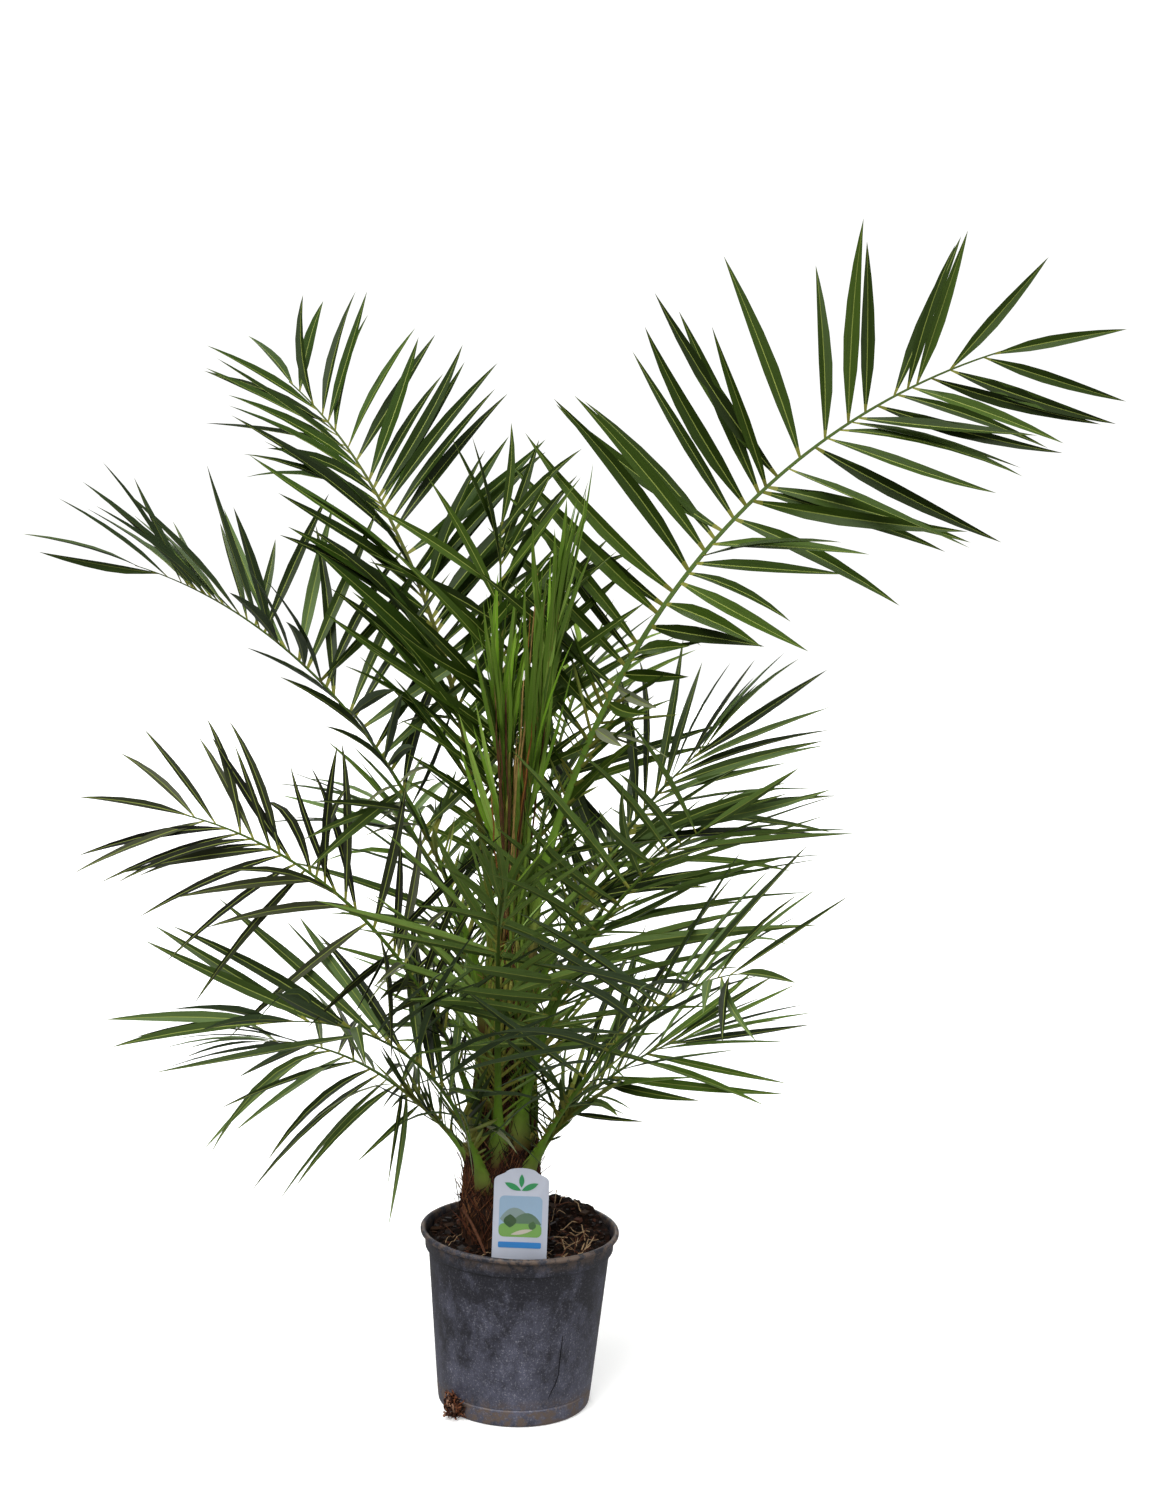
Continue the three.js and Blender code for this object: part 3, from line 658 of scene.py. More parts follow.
class Heap:
    """Many small shapes, gathered as arrays and made into one mesh. Points are in millimetres."""

    def __init__(self):
        self.points, self.faces, self.slots, self.strips, self.count = [], [], [], [], 0

    def put(self, points, faces, slots, strips=None):
        self.points.append(np.asarray(points))
        self.faces += [[corner + self.count for corner in face] for face in faces]
        self.slots += list(slots) if hasattr(slots, "__len__") else [slots] * len(faces)
        if strips is not None:
            self.strips.append(strips)
        self.count += len(points)

    def mesh(self, name):
        mesh = bpy.data.meshes.new(name)
        mesh.from_pydata((np.vstack(self.points) * MM).tolist(), [], self.faces)
        mesh.polygons.foreach_set("material_index", self.slots)
        if self.strips:
            strips = np.vstack(self.strips)
            corner = np.empty(len(mesh.loops), int)
            mesh.loops.foreach_get("vertex_index", corner)
            mesh.uv_layers.new(name="strip").data.foreach_set("uv", strips[corner].ravel())
        mesh.update()
        return mesh


def lofted(size, count, tip):
    """Faces that join rings of a size, with a face over the first, and over the last or up to a tip."""
    faces = [list(range(size))[::-1]]
    for ring in range(count - 1):
        base = ring * size
        for i in range(size):
            after = (i + 1) % size
            faces.append([base + i, base + after, base + size + after, base + size + i])
    base = (count - 1) * size
    if tip:
        faces += [[base + i, base + (i + 1) % size, count * size] for i in range(size)]
    else:
        faces.append([base + i for i in range(size)])
    return faces


def strand(heap, line, radius, slot, sides=3, flat=1):
    """A fibre along a line of points, as wide as its radius, flattened or round, and pointed at its end."""
    line = np.asarray(line)
    ways = np.gradient(line, axis=0)
    ways /= np.linalg.norm(ways, axis=1)[:, None]
    helper = np.array([0.31, 0.53, 0.79])
    side = np.cross(ways, helper)
    side /= np.linalg.norm(side, axis=1)[:, None]
    over = np.cross(ways, side)
    points = []
    for k in range(len(line) - 1):
        for i in range(sides):
            angle = 2 * pi * i / sides
            points.append(line[k] + radius * (side[k] * cos(angle) + flat * over[k] * sin(angle)))
    points.append(line[-1])
    heap.put(points, lofted(sides, len(line) - 1, True), slot)


# ---- Pot, compost, root tuft and label ------------------------------------

# Heights of the pot's stacking collar with its lip, and of the lip alone, and the groove round its
# foot with its depth, in millimetres.
COLLAR, LIP, GROOVE, GROOVE_DEPTH = 24, 7, 21.5, 0.9


def wall_radius(pot, height):
    """The wall's outer radius at a height below the collar, in millimetres."""
    rim, base, top = pot.rim / MM, pot.base / MM, pot.height / MM - COLLAR
    return base + (rim - 10.5 - base) * height / top


def pot_profile(pot):
    rim, height, base, wall = pot.rim / MM, pot.height / MM, pot.base / MM, pot.wall / MM
    under, step, floor, bead = height - COLLAR, 4, 3, 3.2
    outer = [(0, 0), (base * 0.5, 0), (base - 8, 0)]
    outer += arc((base - 4, 4), 4, -90, -4, 6)
    outer += [(wall_radius(pot, z), z) for z in (14, 20)]
    outer.append((wall_radius(pot, GROOVE) - GROOVE_DEPTH, GROOVE))
    outer += [(wall_radius(pot, z), z) for z in (24, 60, 120, under - 2)]
    outer += arc((wall_radius(pot, under) + 1.2, under - 1), 1.2, 180, 90, 4)
    outer += arc((wall_radius(pot, under) + step - 1.2, under + 1.4), 1.2, -90, 0, 4)
    outer += [(rim - 5.4, height - LIP - 0.6)]
    outer += arc((rim - bead, height - LIP + bead), bead, -110, 0, 8)
    outer += arc((rim - bead, height - bead), bead, 0, 150, 10)
    inner = [(rim - 5 - wall, height - LIP), (wall_radius(pot, under) + step - wall, under + 3)]
    inner += [(wall_radius(pot, under) - wall, under), (wall_radius(pot, floor) - wall - 3, floor + 1.5)]
    inner += [(wall_radius(pot, floor) - wall - 6, floor), (0, floor)]
    return outer + inner


def cut_holes(pot, count=8, radius=8, ring=78):
    """Cuts the drainage holes through the floor, and leaves the cut in the mesh."""
    drills = bmesh.new()
    for i in range(count):
        turn = 2 * pi * (i + 0.5) / count
        place = Matrix.Translation((*polar(ring * MM, turn), 0))
        bmesh.ops.create_cone(
            drills, cap_ends=True, segments=20, radius1=radius * MM, radius2=radius * MM, depth=14 * MM,
            matrix=place,
        )
    cutter = bpy.data.objects.new("drills", mesh_of(drills, "drills"))
    bpy.context.scene.collection.objects.link(cutter)
    cut = pot.modifiers.new("holes", "BOOLEAN")
    cut.operation, cut.solver, cut.object = "DIFFERENCE", "EXACT", cutter
    depsgraph = bpy.context.evaluated_depsgraph_get()
    holed = bpy.data.meshes.new_from_object(pot.evaluated_get(depsgraph))
    pot.modifiers.clear()
    pot.data = holed
    bpy.data.objects.remove(cutter)


class PALM_OT_pot(bpy.types.Operator):
    """Turn the nursery pot: a tapered wall with a collar, a rolled lip and drainage holes"""

    bl_idname = "palm.pot"
    bl_label = "Pot"

    def execute(self, context):
        settings = context.scene.palm_pot
        shape = spun(pot_profile(settings), 112)
        plastic = moulded_polypropylene(settings)
        piece = finished(mesh_of(shape, "nursery_pot"), [plastic], "pot_plastic", "pot")
        cut_holes(piece)
        heap = Heap()
        # A near-black line on the wall marks the split: the crack's painted shade, with dirt in it.
        split = [(-56.5, 112), (-56.8, 98), (-57.2, 80), (-57, 64), (-59, 52), (-62, 42), (-64, 33)]
        line = [(*polar(wall_radius(settings, z) + 0.1, radians(turn)), z) for turn, z in split]
        strand(heap, line, 0.55, 0, 4)
        dark = plain_stuff("split_shade_and_dirt", "#111116", 0.8, 4)
        finished(heap.mesh("pot_split"), [dark], "pot_plastic", crease=180)
        return {"FINISHED"}


MOUND_X, MOUND_Y, MOUND_RADIUS, RIPPLE = 56, 76, 62, 2.2
LITTER_OUT, LITTER_IN, LITTER_TOP = 104, 40, 219  # how far out, near the trunk and high litter lies


def compost_top(settings, x, y):
    """Height of the compost's surface at a place, in millimetres."""
    away = hypot(x - MOUND_X, y - MOUND_Y) / MOUND_RADIUS
    bumps = sin(x / 11 + 1) * cos(y / 9) + 0.6 * sin((x + y) / 6)
    crumbs = 4 * noise.noise(Vector((x, y, 0)) / 15) + 3 * noise.noise(Vector((x, y, 9)) / 7)
    crumbs += 1.6 * noise.noise(Vector((x, y, 40)) / 3)
    crumbs += 13 * exp(-((x + 66) ** 2 + (y - 50) ** 2) / 42**2)
    return settings.level / MM + settings.mound / MM * exp(-away * away) + RIPPLE * bumps + crumbs


def scatter_on_compost(settings, heap, dice):
    """Bark chips, straws and rootlets that lie on the compost, clear of the trunk."""

    def spot():
        while True:
            x, y = polar(LITTER_OUT * sqrt(dice.random()), 2 * pi * dice.random())
            if hypot(x - TRUNK_X, y) > LITTER_IN:
                return x, y, compost_top(settings, x, y)

    for _ in range(settings.chips):
        x, y, z = spot()
        size = dice.uniform(1.6, 4.6) * (1 + 1.2 * (dice.random() < 0.12))
        box = np.array([[i, j, k] for k in (-1, 1) for i, j in ((-1, -1), (1, -1), (1, 1), (-1, 1))], float)
        box *= np.array([size * dice.uniform(1, 2.2), size, size * dice.uniform(0.25, 0.7)]) / 2
        box *= dice.uniform(0.55, 1, box.shape)
        turn = Matrix.Rotation(dice.uniform(0, 2 * pi), 3, "Z")
        turn = turn @ Matrix.Rotation(dice.normal(0, 0.5), 3, "X")
        chip = box @ np.array(turn).T + (x, y, z + dice.uniform(-0.4, 0.8) * size * 0.4)
        heap.put(chip, lofted(4, 2, False), int(dice.choice([0, 0, 1, 2, 2, 2])))
    for _ in range(settings.straws):
        x, y, _ = spot()
        if x < 10 and dice.random() < 0.5:
            continue
        turn, bend, length = dice.uniform(0, 2 * pi), dice.normal(0, 0.25), dice.uniform(8, 44)
        tilt = dice.uniform(-0.05, 0.25)
        line = []
        for k in range(7):
            line.append((x, y, compost_top(settings, x, y) + 1.2 + tilt * length * k / 6))
            x += length / 6 * cos(turn)
            y += length / 6 * sin(turn)
            turn += bend / 6
        if max(hypot(px, py) for px, py, _ in line) < LITTER_OUT + 1:
            strand(heap, line, dice.uniform(0.3, 0.8), 3 if dice.random() < 0.6 else 4, 4)
    # Broken straws lean against the wall at the front right.
    for _ in range(26):
        turn, out = radians(dice.uniform(-75, -15)), dice.uniform(66, 92)
        foot = np.array([*polar(out, turn), 0])
        foot[2] = compost_top(settings, foot[0], foot[1]) - 1
        way = unit(np.array([dice.uniform(-0.6, 1), dice.uniform(-0.6, 0.8), dice.uniform(0.1, 0.9)]))
        length, bend = dice.uniform(9, 26), dice.normal(0, 0.12, 3)
        line = [foot + (way + bend * share) * length * share for share in (0, 0.2, 0.4, 0.6, 0.8, 1)]
        reach = max(hypot(px, py) for px, py, _ in line)
        if reach < LITTER_OUT + 2 and line[-1][2] < LITTER_TOP:
            strand(heap, line, dice.uniform(0.5, 1.1), 3 if dice.random() < 0.8 else 4, 4, 0.6)


class PALM_OT_compost(bpy.types.Operator):
    """Fill the pot with compost, mounded at the back right, with bark chips, straws and rootlets on it"""

    bl_idname = "palm.compost"
    bl_label = "Compost"

    def execute(self, context):
        settings, pot = context.scene.palm_compost, context.scene.palm_pot
        inside = [(wall_radius(pot, z) - pot.wall / MM - 0.4, z) for z in (3.4, pot.height / MM - COLLAR)]
        level, edge, rings = settings.level / MM, 109.5, 66
        profile = [(0, 3.4), (40, 3.4), *inside, (edge, level - 6)]
        profile += [(edge * (1 - i / rings), level) for i in range(rings + 1)]
        shape = spun(profile, 180)
        for corner in shape.verts:
            if corner.co.z > (level - 1) * MM:
                x, y = corner.co.x / MM, corner.co.y / MM
                corner.co.z = compost_top(settings, x, y) * MM
        stuff = moist_compost(settings)
        finished(mesh_of(shape, "compost"), [stuff], "potting_soil", "soil", crease=180)

        heap = Heap()
        scatter_on_compost(settings, heap, np.random.default_rng(5))
        # A root arches from the trunk's foot down into the compost at the front left.
        start, end, bow = np.array([-70, -16, 238]), np.array([-37, -82, 204]), np.array([0, -6, 7])
        share = np.linspace(0, 1, 13)[:, None]
        strand(heap, start * (1 - share) + end * share + bow * np.sin(pi * share), 1.8, 4, 6)
        stuffs = plain_stuffs(
            ("pine_bark", "#34200f", 0.8, 3), ("pine_bark_red", "#4a2818", 0.8, 3),
            ("wet_bark", "#160b06", 0.6, 3), ("dry_straw", "#b39672", 0.7, 4, 0.75),
            ("rootlet", "#5f3a26", 0.8, 5),
        )
        finished(heap.mesh("compost_litter"), stuffs, "potting_soil", crease=25)
        return {"FINISHED"}


class PALM_OT_root_tuft(bpy.types.Operator):
    """Tangle the tuft of roots that has grown out at the pot's foot"""

    bl_idname = "palm.root_tuft"
    bl_label = "Root tuft"

    def execute(self, context):
        dice = np.random.default_rng(8)
        middle = np.array((TUFT_LOW + TUFT_HIGH) / 2) / MM
        half = np.array((TUFT_HIGH - TUFT_LOW) / 2) / MM
        heap = Heap()
        for _ in range(120):
            # The tuft is widest on the ground and leans against the wall in a ragged point.
            up = dice.random() ** 1.6
            place = middle + np.array([
                -0.85 + dice.random() * 1.7 * (1 - 0.8 * up), dice.uniform(-0.7, 0.7), 1.8 * up - 0.9,
            ]) * half
            way = unit(dice.normal(0, 1, 3) + (-0.3, 0, 1.1))
            line = [place.copy()]
            for _ in range(6):
                way = unit(way + dice.normal(0, 0.35, 3))
                place = np.clip(place + way * 2.8, middle - half, middle + half)
                line.append(place.copy())
            if min(np.linalg.norm(np.diff(line, axis=0), axis=1)) > 0.5:
                strand(heap, line, dice.uniform(0.6, 1.9), int(dice.integers(0, 3)), 4, 0.5)
        crumb = bmesh.new()
        bmesh.ops.create_icosphere(crumb, subdivisions=3, radius=1)
        for corner in crumb.verts:
            swell = 0.6 + 0.3 * noise.noise(corner.co * 2.3) + 0.15 * noise.noise(corner.co * 7)
            taper = 1 - 0.35 * (corner.co.z + 1) / 2
            spread = Vector((corner.co.x * taper, corner.co.y, corner.co.z * 1.1 - 0.25))
            corner.co = Vector(middle * MM) + Vector(np.array(spread) * half * MM) * swell
        stuffs = plain_stuffs(
            ("root_skin", "#74452c", 0.85, 3), ("root_skin_dark", "#3a2015", 0.85, 3),
            ("root_skin_pale", "#96705a", 0.85, 3),
        )
        finished(mesh_of(crumb, "root_clot"), [stuffs[1]], "root_fibre", crease=180)
        finished(heap.mesh("root_tuft_strands"), stuffs, "root_fibre", "root_tuft", crease=180)
        return {"FINISHED"}


def plate(outline, front, thick):
    """A flat plate in the upright plane, from its outline of (x, z) points, its face at a depth front."""
    shape = bmesh.new()
    corners = [shape.verts.new((x * MM, front * MM, z * MM)) for x, z in outline]
    face = shape.faces.new(corners)
    pushed = bmesh.ops.extrude_face_region(shape, geom=[face])["geom"]
    moved = [item for item in pushed if isinstance(item, bmesh.types.BMVert)]
    bmesh.ops.translate(shape, verts=moved, vec=(0, thick * MM, 0))
    return shape


def leaf_outline(x, z, length, width, turn):
    """A printed leaf: two arcs that meet in points, turned in the label's plane."""
    outline = []
    for i in range(24):
        a = 2 * pi * i / 24
        u, v = length / 2 * cos(a), width / 2 * sin(a) * abs(sin(a))
        c, s = cos(radians(turn)), sin(radians(turn))
        outline.append((x + u * c - v * s, z + u * s + v * c))
    return outline


def round_corners(x0, z0, x1, z1, radius):
    """A rectangle with round corners."""
    turns = [((x1, z1), 0), ((x0, z1), 90), ((x0, z0), 180), ((x1, z0), 270)]
    outline = []
    for (x, z), start in turns:
        middle = (x + (radius if x == x0 else -radius), z + (radius if z == z0 else -radius))
        outline += arc(middle, radius, start, start + 90, 6)
    return outline


class PALM_OT_label(bpy.types.Operator):
    """Cut the plant label and print it with a plain band and leaves"""

    bl_idname = "palm.label"
    bl_label = "Label"

    def execute(self, context):
        settings = context.scene.palm_label
        low, high = LABEL_LOW / MM, LABEL_HIGH / MM
        middle, half, front = (low.x + high.x) / 2, (high.x - low.x) / 2, low.y
        shoulder, stake, arch_rise, corner = 186, 8, 9, 8
        top = high.z - arch_rise
        outline = [(middle - stake, low.z), (middle + stake, low.z), (middle + half, shoulder)]
        outline += arc((middle + half - corner, top - corner), corner, 0, 72, 7)
        outline += [
            (middle + half * 0.62 * cos(turn), top + arch_rise * sin(turn) ** 0.8)
            for turn in np.linspace(0, pi, 13)[1:-1]
        ]
        outline += arc((middle - half + corner, top - corner), corner, 108, 180, 7)
        outline.append((middle - half, shoulder))
        shape = plate(outline, front, high.y - low.y)
        bmesh.ops.bevel(
            shape, geom=shape.edges[:], offset=0.25 * MM, affect="EDGES", segments=2, profile=0.5, material=-1
        )
        white = printed_plastic("printed_polystyrene", tuple(settings.ground))
        finished(mesh_of(shape, "plant_tag"), [white], "label_plastic", "plant_label")

        # A landscape of plain shapes in a round-cornered panel, over a band, under a sprig.
        print_layers = [
            ("sky", linear("#8fa9c0"), round_corners(middle - 25, 232, middle + 25, 281, 6)),
            ("far_hill", linear("#7c8f8c"), leaf_outline(middle - 7, 255, 34, 24, 6)),
            ("hill", linear("#56705a"), leaf_outline(middle + 8, 250, 33, 22, -8)),
            ("lawn", linear("#6f9a4e"), round_corners(middle - 25, 232, middle + 25, 248, 6)),
            ("bush", linear("#34502f"), leaf_outline(middle - 12, 251, 16, 15, 90)),
            ("bush_small", linear("#41603a"), leaf_outline(middle + 14, 246, 11, 9, 75)),
            ("path", linear("#b9b2a4"), leaf_outline(middle + 2, 238, 26, 5, 14)),
            ("band", tuple(settings.band), round_corners(middle - 25, 219, middle + 25, 226, 1.5)),
            ("sprig_left", tuple(settings.leaf), leaf_outline(middle - 10, 292, 21, 7, 155)),
            ("sprig_right", tuple(settings.leaf), leaf_outline(middle + 10, 292, 21, 7, 25)),
            ("sprig_top", tuple(settings.leaf), leaf_outline(middle, 299, 16, 6, 90)),
        ]
        for number, (name, color, points) in enumerate(print_layers):
            ink = plate(points, front - 0.05 - 0.04 * number, 0.2)
            stuff = printed_plastic("ink_" + name, color)
            finished(mesh_of(ink, "label_" + name), [stuff], "label_plastic")
        return {"FINISHED"}


# ---- Trunk ----------------------------------------------------------------

BOOT = dict(count=9, turn=137.5, first=216, rise=21, length=34, width=30, depth=9, lean=62)


def sheath_relief(turn, height):
    """How far the overlapping leaf sheaths stand out: ridges that wind up the trunk, frayed by fibres."""
    lobes = cos(5 * turn + height / 17) * cos(3 * turn - height / 29)
    place = Vector((*polar(2.2, turn), height / 60))
    fray = noise.noise(place * 3.1) + 0.5 * noise.noise(Vector((turn * 9, height / 14, 3)))
    return 0.45 * lobes + 0.55 * fray


def boot_frame(index):
    """The place of an old leaf base, looking out and up from the trunk."""
    height = BOOT["first"] + BOOT["rise"] * index
    lean = Matrix.Rotation(radians(90 - BOOT["lean"]), 4, "Y")
    out = Matrix.Translation(((trunk_radius(height) - 4) * MM, 0, height * MM))
    turn = Matrix.Rotation(radians(BOOT["turn"] * index), 4, "Z")
    return Matrix.Translation((TRUNK_X * MM, 0, 0)) @ turn @ out @ lean


class PALM_OT_trunk(bpy.types.Operator):
    """Raise the trunk with its fibrous sheaths, old leaf bases and loose fibres"""

    bl_idname = "palm.trunk"
    bl_label = "Trunk"

    def execute(self, context):
        settings = context.scene.palm_trunk
        fibre = sheath_fibre(settings)
        foot, tip = TRUNK_HEIGHTS[0], TRUNK_HEIGHTS[-1]
        profile = [(0, foot)] + [(trunk_radius(z), z) for z in np.linspace(foot, tip, 120)] + [(0, tip)]
        shape = spun(profile, 120)
        for corner in shape.verts:
            radius = hypot(corner.co.x, corner.co.y)
            if radius > 1 * MM:
                turn, height = atan2(corner.co.y, corner.co.x), corner.co.z / MM
                grown = 1 + settings.relief * sheath_relief(turn, height) / radius
                corner.co.x *= grown
                corner.co.y *= grown
        bmesh.ops.translate(shape, verts=shape.verts, vec=(TRUNK_X * MM, 0, 0))
        finished(mesh_of(shape, "trunk_sheaths"), [fibre], "trunk_fibre", "trunk", crease=180)

        stubs = bmesh.new()
        for index in range(BOOT["count"]):
            size = Matrix.Diagonal((BOOT["depth"] * MM, BOOT["width"] * 0.82 * MM, BOOT["length"] * MM, 1))
            made = bmesh.ops.create_cube(stubs, size=1, matrix=Matrix.Identity(4))["verts"]
            for corner in made:
                if corner.co.z > 0:
                    corner.co.y *= 0.6
                    corner.co.x *= 0.7
            bmesh.ops.transform(stubs, matrix=boot_frame(index) @ size, verts=made)
        bmesh.ops.bevel(
            stubs, geom=stubs.edges[:], offset=2.6 * MM, affect="EDGES", segments=3, profile=0.5, material=-1
        )
        bmesh.ops.subdivide_edges(stubs, edges=stubs.edges[:], cuts=2, use_grid_fill=True)
        for corner in stubs.verts:
            corner.co += corner.normal * 1.1 * MM * noise.noise(corner.co / MM / 5)
        rind = plain_stuff("old_leaf_base", "#77702f", 0.7, 6, 0.5)
        finished(mesh_of(stubs, "old_leaf_bases"), [rind], "trunk_fibre", crease=60)

        heap = Heap()
        self.lay_fibres(heap, settings.strands)
        stuffs = plain_stuffs(
            ("fibre_red", "#5e331d", 0.75, 5), ("fibre_dark", "#2a160c", 0.8, 5),
            ("fibre_tan", "#855a38", 0.7, 5),
        )
        finished(heap.mesh("trunk_fibres"), stuffs, "trunk_fibre", crease=180)
        return {"FINISHED"}

    def lay_fibres(self, heap, count):
        """Fibres that cross round the trunk, some of them fraying away from it or hanging."""
        dice = np.random.default_rng(11)
        for number in range(count):
            height = dice.uniform(200, 520) if number % 3 else dice.uniform(196, 300)
            turn = dice.uniform(0, 2 * pi)
            lean = dice.choice([-1, 1]) * dice.uniform(0.2, 0.9)
            length = dice.uniform(22, 70)
            loose = dice.uniform(5, 24) if dice.random() < 0.22 else dice.uniform(0, 2.5)
            line = []
            for k in range(7):
                share = k / 6
                z = height + length * share * cos(lean)
                radius = trunk_radius(z) + 1.4 + loose * share**2 + dice.normal(0, 0.25)
                angle = turn + length * share * sin(lean) / radius
                x, y = polar(radius, angle)
                line.append((TRUNK_X + x, y, z))
            strand(heap, line, dice.uniform(0.25, 0.7), int(dice.choice([0, 0, 1, 1, 1, 2])))


# ---- Fronds ---------------------------------------------------------------


def stalk_shape(frond, stations=60):
    """A frond's stalk: a round section, channelled on top and keeled below, drawn out along its curve."""
    curve = StalkCurve(frond, stations)
    shape = bmesh.new()
    share = shape.verts.layers.float.new("share")
    ring = bmesh.ops.create_circle(shape, cap_ends=True, segments=12, radius=1)["verts"]
    for corner in ring:
        if corner.co.y > 0.6:
            corner.co.y *= 0.55
        elif corner.co.y < -0.9:
            corner.co.y *= 1.2
    edges = shape.edges[:]
    last = Matrix.Identity(4)
    for station in range(stations + 1):
        t = station / stations
        place, ahead, side, top = curve.at(t)
        half = curve.width(t) / 2 * (0.86 + 0.9 * exp(-((t / 0.09) ** 2)))
        frame_here = Matrix.Identity(4)
        for column, axis in enumerate((side * half, top * half * STALK["flat"], ahead, place)):
            frame_here.col[column].xyz = Vector(axis) * MM
        if station:
            pulled = bmesh.ops.extrude_edge_only(shape, edges=edges)["geom"]
            ring = [item for item in pulled if isinstance(item, bmesh.types.BMVert)]
            edges = [
                item for item in pulled if isinstance(item, bmesh.types.BMEdge)
                and item.verts[0] in ring and item.verts[1] in ring
            ]
        bmesh.ops.transform(shape, matrix=frame_here @ last.inverted(), verts=ring)
        for corner in ring:
            corner[share] = t
        last = frame_here
    bmesh.ops.edgeloop_fill(shape, edges=edges)
    return shape


def settled(leaflets, lost, stray, hanging, dice):
    """The leaflets as they settle with age: some are lost, some hang, and each is a little out of its row."""
    kept = [one for one in leaflets if dice.random() >= lost]
    for one in kept:
        one["ahead"] += dice.normal(0, stray)
        one["lift"] += dice.normal(0, 1.2 * stray)
        one["turn"] += dice.normal(0, 0.2)
        if dice.random() < hanging:
            one["droop"] += dice.uniform(0.15, 0.5)
            one["length"] *= 0.9
    return kept


def filled(leaflets, share, dice):
    """The leaflets with finer ones between neighbours on the same side of the stalk."""
    between = []
    for hand in (1, -1):
        side = sorted((one for one in leaflets if one["hand"] == hand), key=lambda one: one["t"])
        for one, following in zip(side, side[1:]):
            wide_gap = (following["t"] - one["t"]) * len(side) > 1.35 * (side[-1]["t"] - side[0]["t"])
            if dice.random() < share or (wide_gap and share > 0):
                mix = dice.uniform(0.35, 0.65)
                new = {name: one[name] * (1 - mix) + following[name] * mix for name in one}
                new["lift"] += dice.normal(0, 15)
                new["ahead"] += dice.normal(0, 9)
                new["turn"] += dice.normal(0, 0.3)
                new["length"] *= dice.uniform(0.8, 0.98)
                new["half"] *= dice.uniform(0.7, 0.95)
                between.append(new)
    return leaflets + between


BLADE_AT = [0, 0.05, 0.13, 0.26, 0.42, 0.6, 0.78, 0.91]  # where a blade's sections lie along it
# The leaflets' materials: the underside, the rib, the foot, four greens of the frond's age and a dry one.
UNDER, RIB, FOOT, FIRST_GREEN, DRY = 0, 1, 2, 3, 7
GREEN_ODDS = [0.38, 0.3, 0.2, 0.12]
SPINES = dict(pairs=17, start=0.4, end=1.15, kept=0.75, longer=120)  # start and end on the bare stalk
WITHERED, SHORT = 4, 0.4  # limp leaflets on a frond, and the share of a full length that is dry below it


def lay_blade(heap, curve, leaflet, settings, dice, shade, slim=1):
    """One leaflet: a lance-shaped blade, folded up along its rib, from a narrow foot to a sharp point."""
    start, way, across, below, length = aimed(curve, leaflet)
    foot, half = leaflet["foot"], leaflet["half"] * settings.slimness * slim
    arch = dice.uniform(0.003, 0.03) * length
    curl, wind = dice.normal(0, 0.22), dice.normal(0, 0.022) * length
    sag = leaflet["droop"] * length
    rings, strips = [], []
    for s in BLADE_AT:
        if s < LEAFLET["widest"]:
            swell = sin(pi / 2 * s / LEAFLET["widest"]) ** 1.25
            wide = foot * 0.8 + (half - foot * 0.8) * swell
        else:
            wide = half * (1 - ((s - LEAFLET["widest"]) / (1 - LEAFLET["widest"])) ** 1.75)
        u = turned_about(across, way, curl * s)
        v = np.cross(way, u)
        middle = start + way * length * s + v * arch * 4 * s * (1 - s) + u * wind * 4 * s * (1 - s)
        middle[2] -= sag * s * s
        folded = settings.fold * min(1, s / 0.2)
        rib = 0.2 + 0.06 * wide * (1 - s)
        thick = max(0.25, 0.35 * foot * (1 - 3 * s))
        section = [
            (wide, folded * wide), (rib, thick * 0.5), (-rib, thick * 0.5),
            (-wide, folded * wide), (-rib, -thick * 1.4), (rib, -thick * 1.4),
        ]
        rings += [middle + u * a + v * b for a, b in section]
        strips += [(a / 6, s * length / 30) for a, _ in section]
    tip = start + way * length
    tip[2] -= sag
    around = [shade, RIB, shade, UNDER, RIB, UNDER]
    slots = [FOOT] * (1 + len(around)) + around * (len(BLADE_AT) - 1)
    faces = lofted(len(around), len(BLADE_AT), True)
    heap.put(rings + [tip], faces, slots, np.array(strips + [(0, length / 30)]))


def lay_spine(heap, curve, t, hand, length, dice):
    """A stiff narrow spine, where a leaflet low on the stalk has stayed undeveloped."""
    place, forward, side, top = curve.at(t)
    place = place + side * hand * curve.width(t) * 0.38
    ahead, lift = radians(dice.uniform(34, 62)), radians(dice.uniform(-5, 50))
    way = forward * cos(ahead) + (side * cos(lift) * hand + top * sin(lift)) * sin(ahead)
    bend = dice.normal(0, 0.03, 3) * length
    line = [place + way * length * share + bend * share**2 for share in (0, 0.3, 0.7, 1)]
    faces, corners = len(heap.faces), heap.count
    slot = int(dice.choice([RIB, FIRST_GREEN, FIRST_GREEN, FIRST_GREEN + 1, FIRST_GREEN + 2]))
    strand(heap, line, 1 + 0.019 * length, slot, 4, 0.4)
    heap.strips.append(np.zeros((heap.count - corners, 2)))
    heap.slots[faces:faces + 5] = [FOOT] * 5  # its end and the first four faces round it


def lay_spines(heap, curve, dice):
    """Spines up both sides of the bare stalk, longer towards the blade, with a gap here and there."""
    for share in np.linspace(SPINES["start"], SPINES["end"], SPINES["pairs"]):
        for hand in (1, -1):
            if dice.random() < SPINES["kept"]:
                t = (share + dice.uniform(-0.03, 0.03)) * curve.frond["bare"]
                length = dice.uniform(12, 26) + SPINES["longer"] * (share - SPINES["start"])
                lay_spine(heap, curve, t, hand, length, dice)


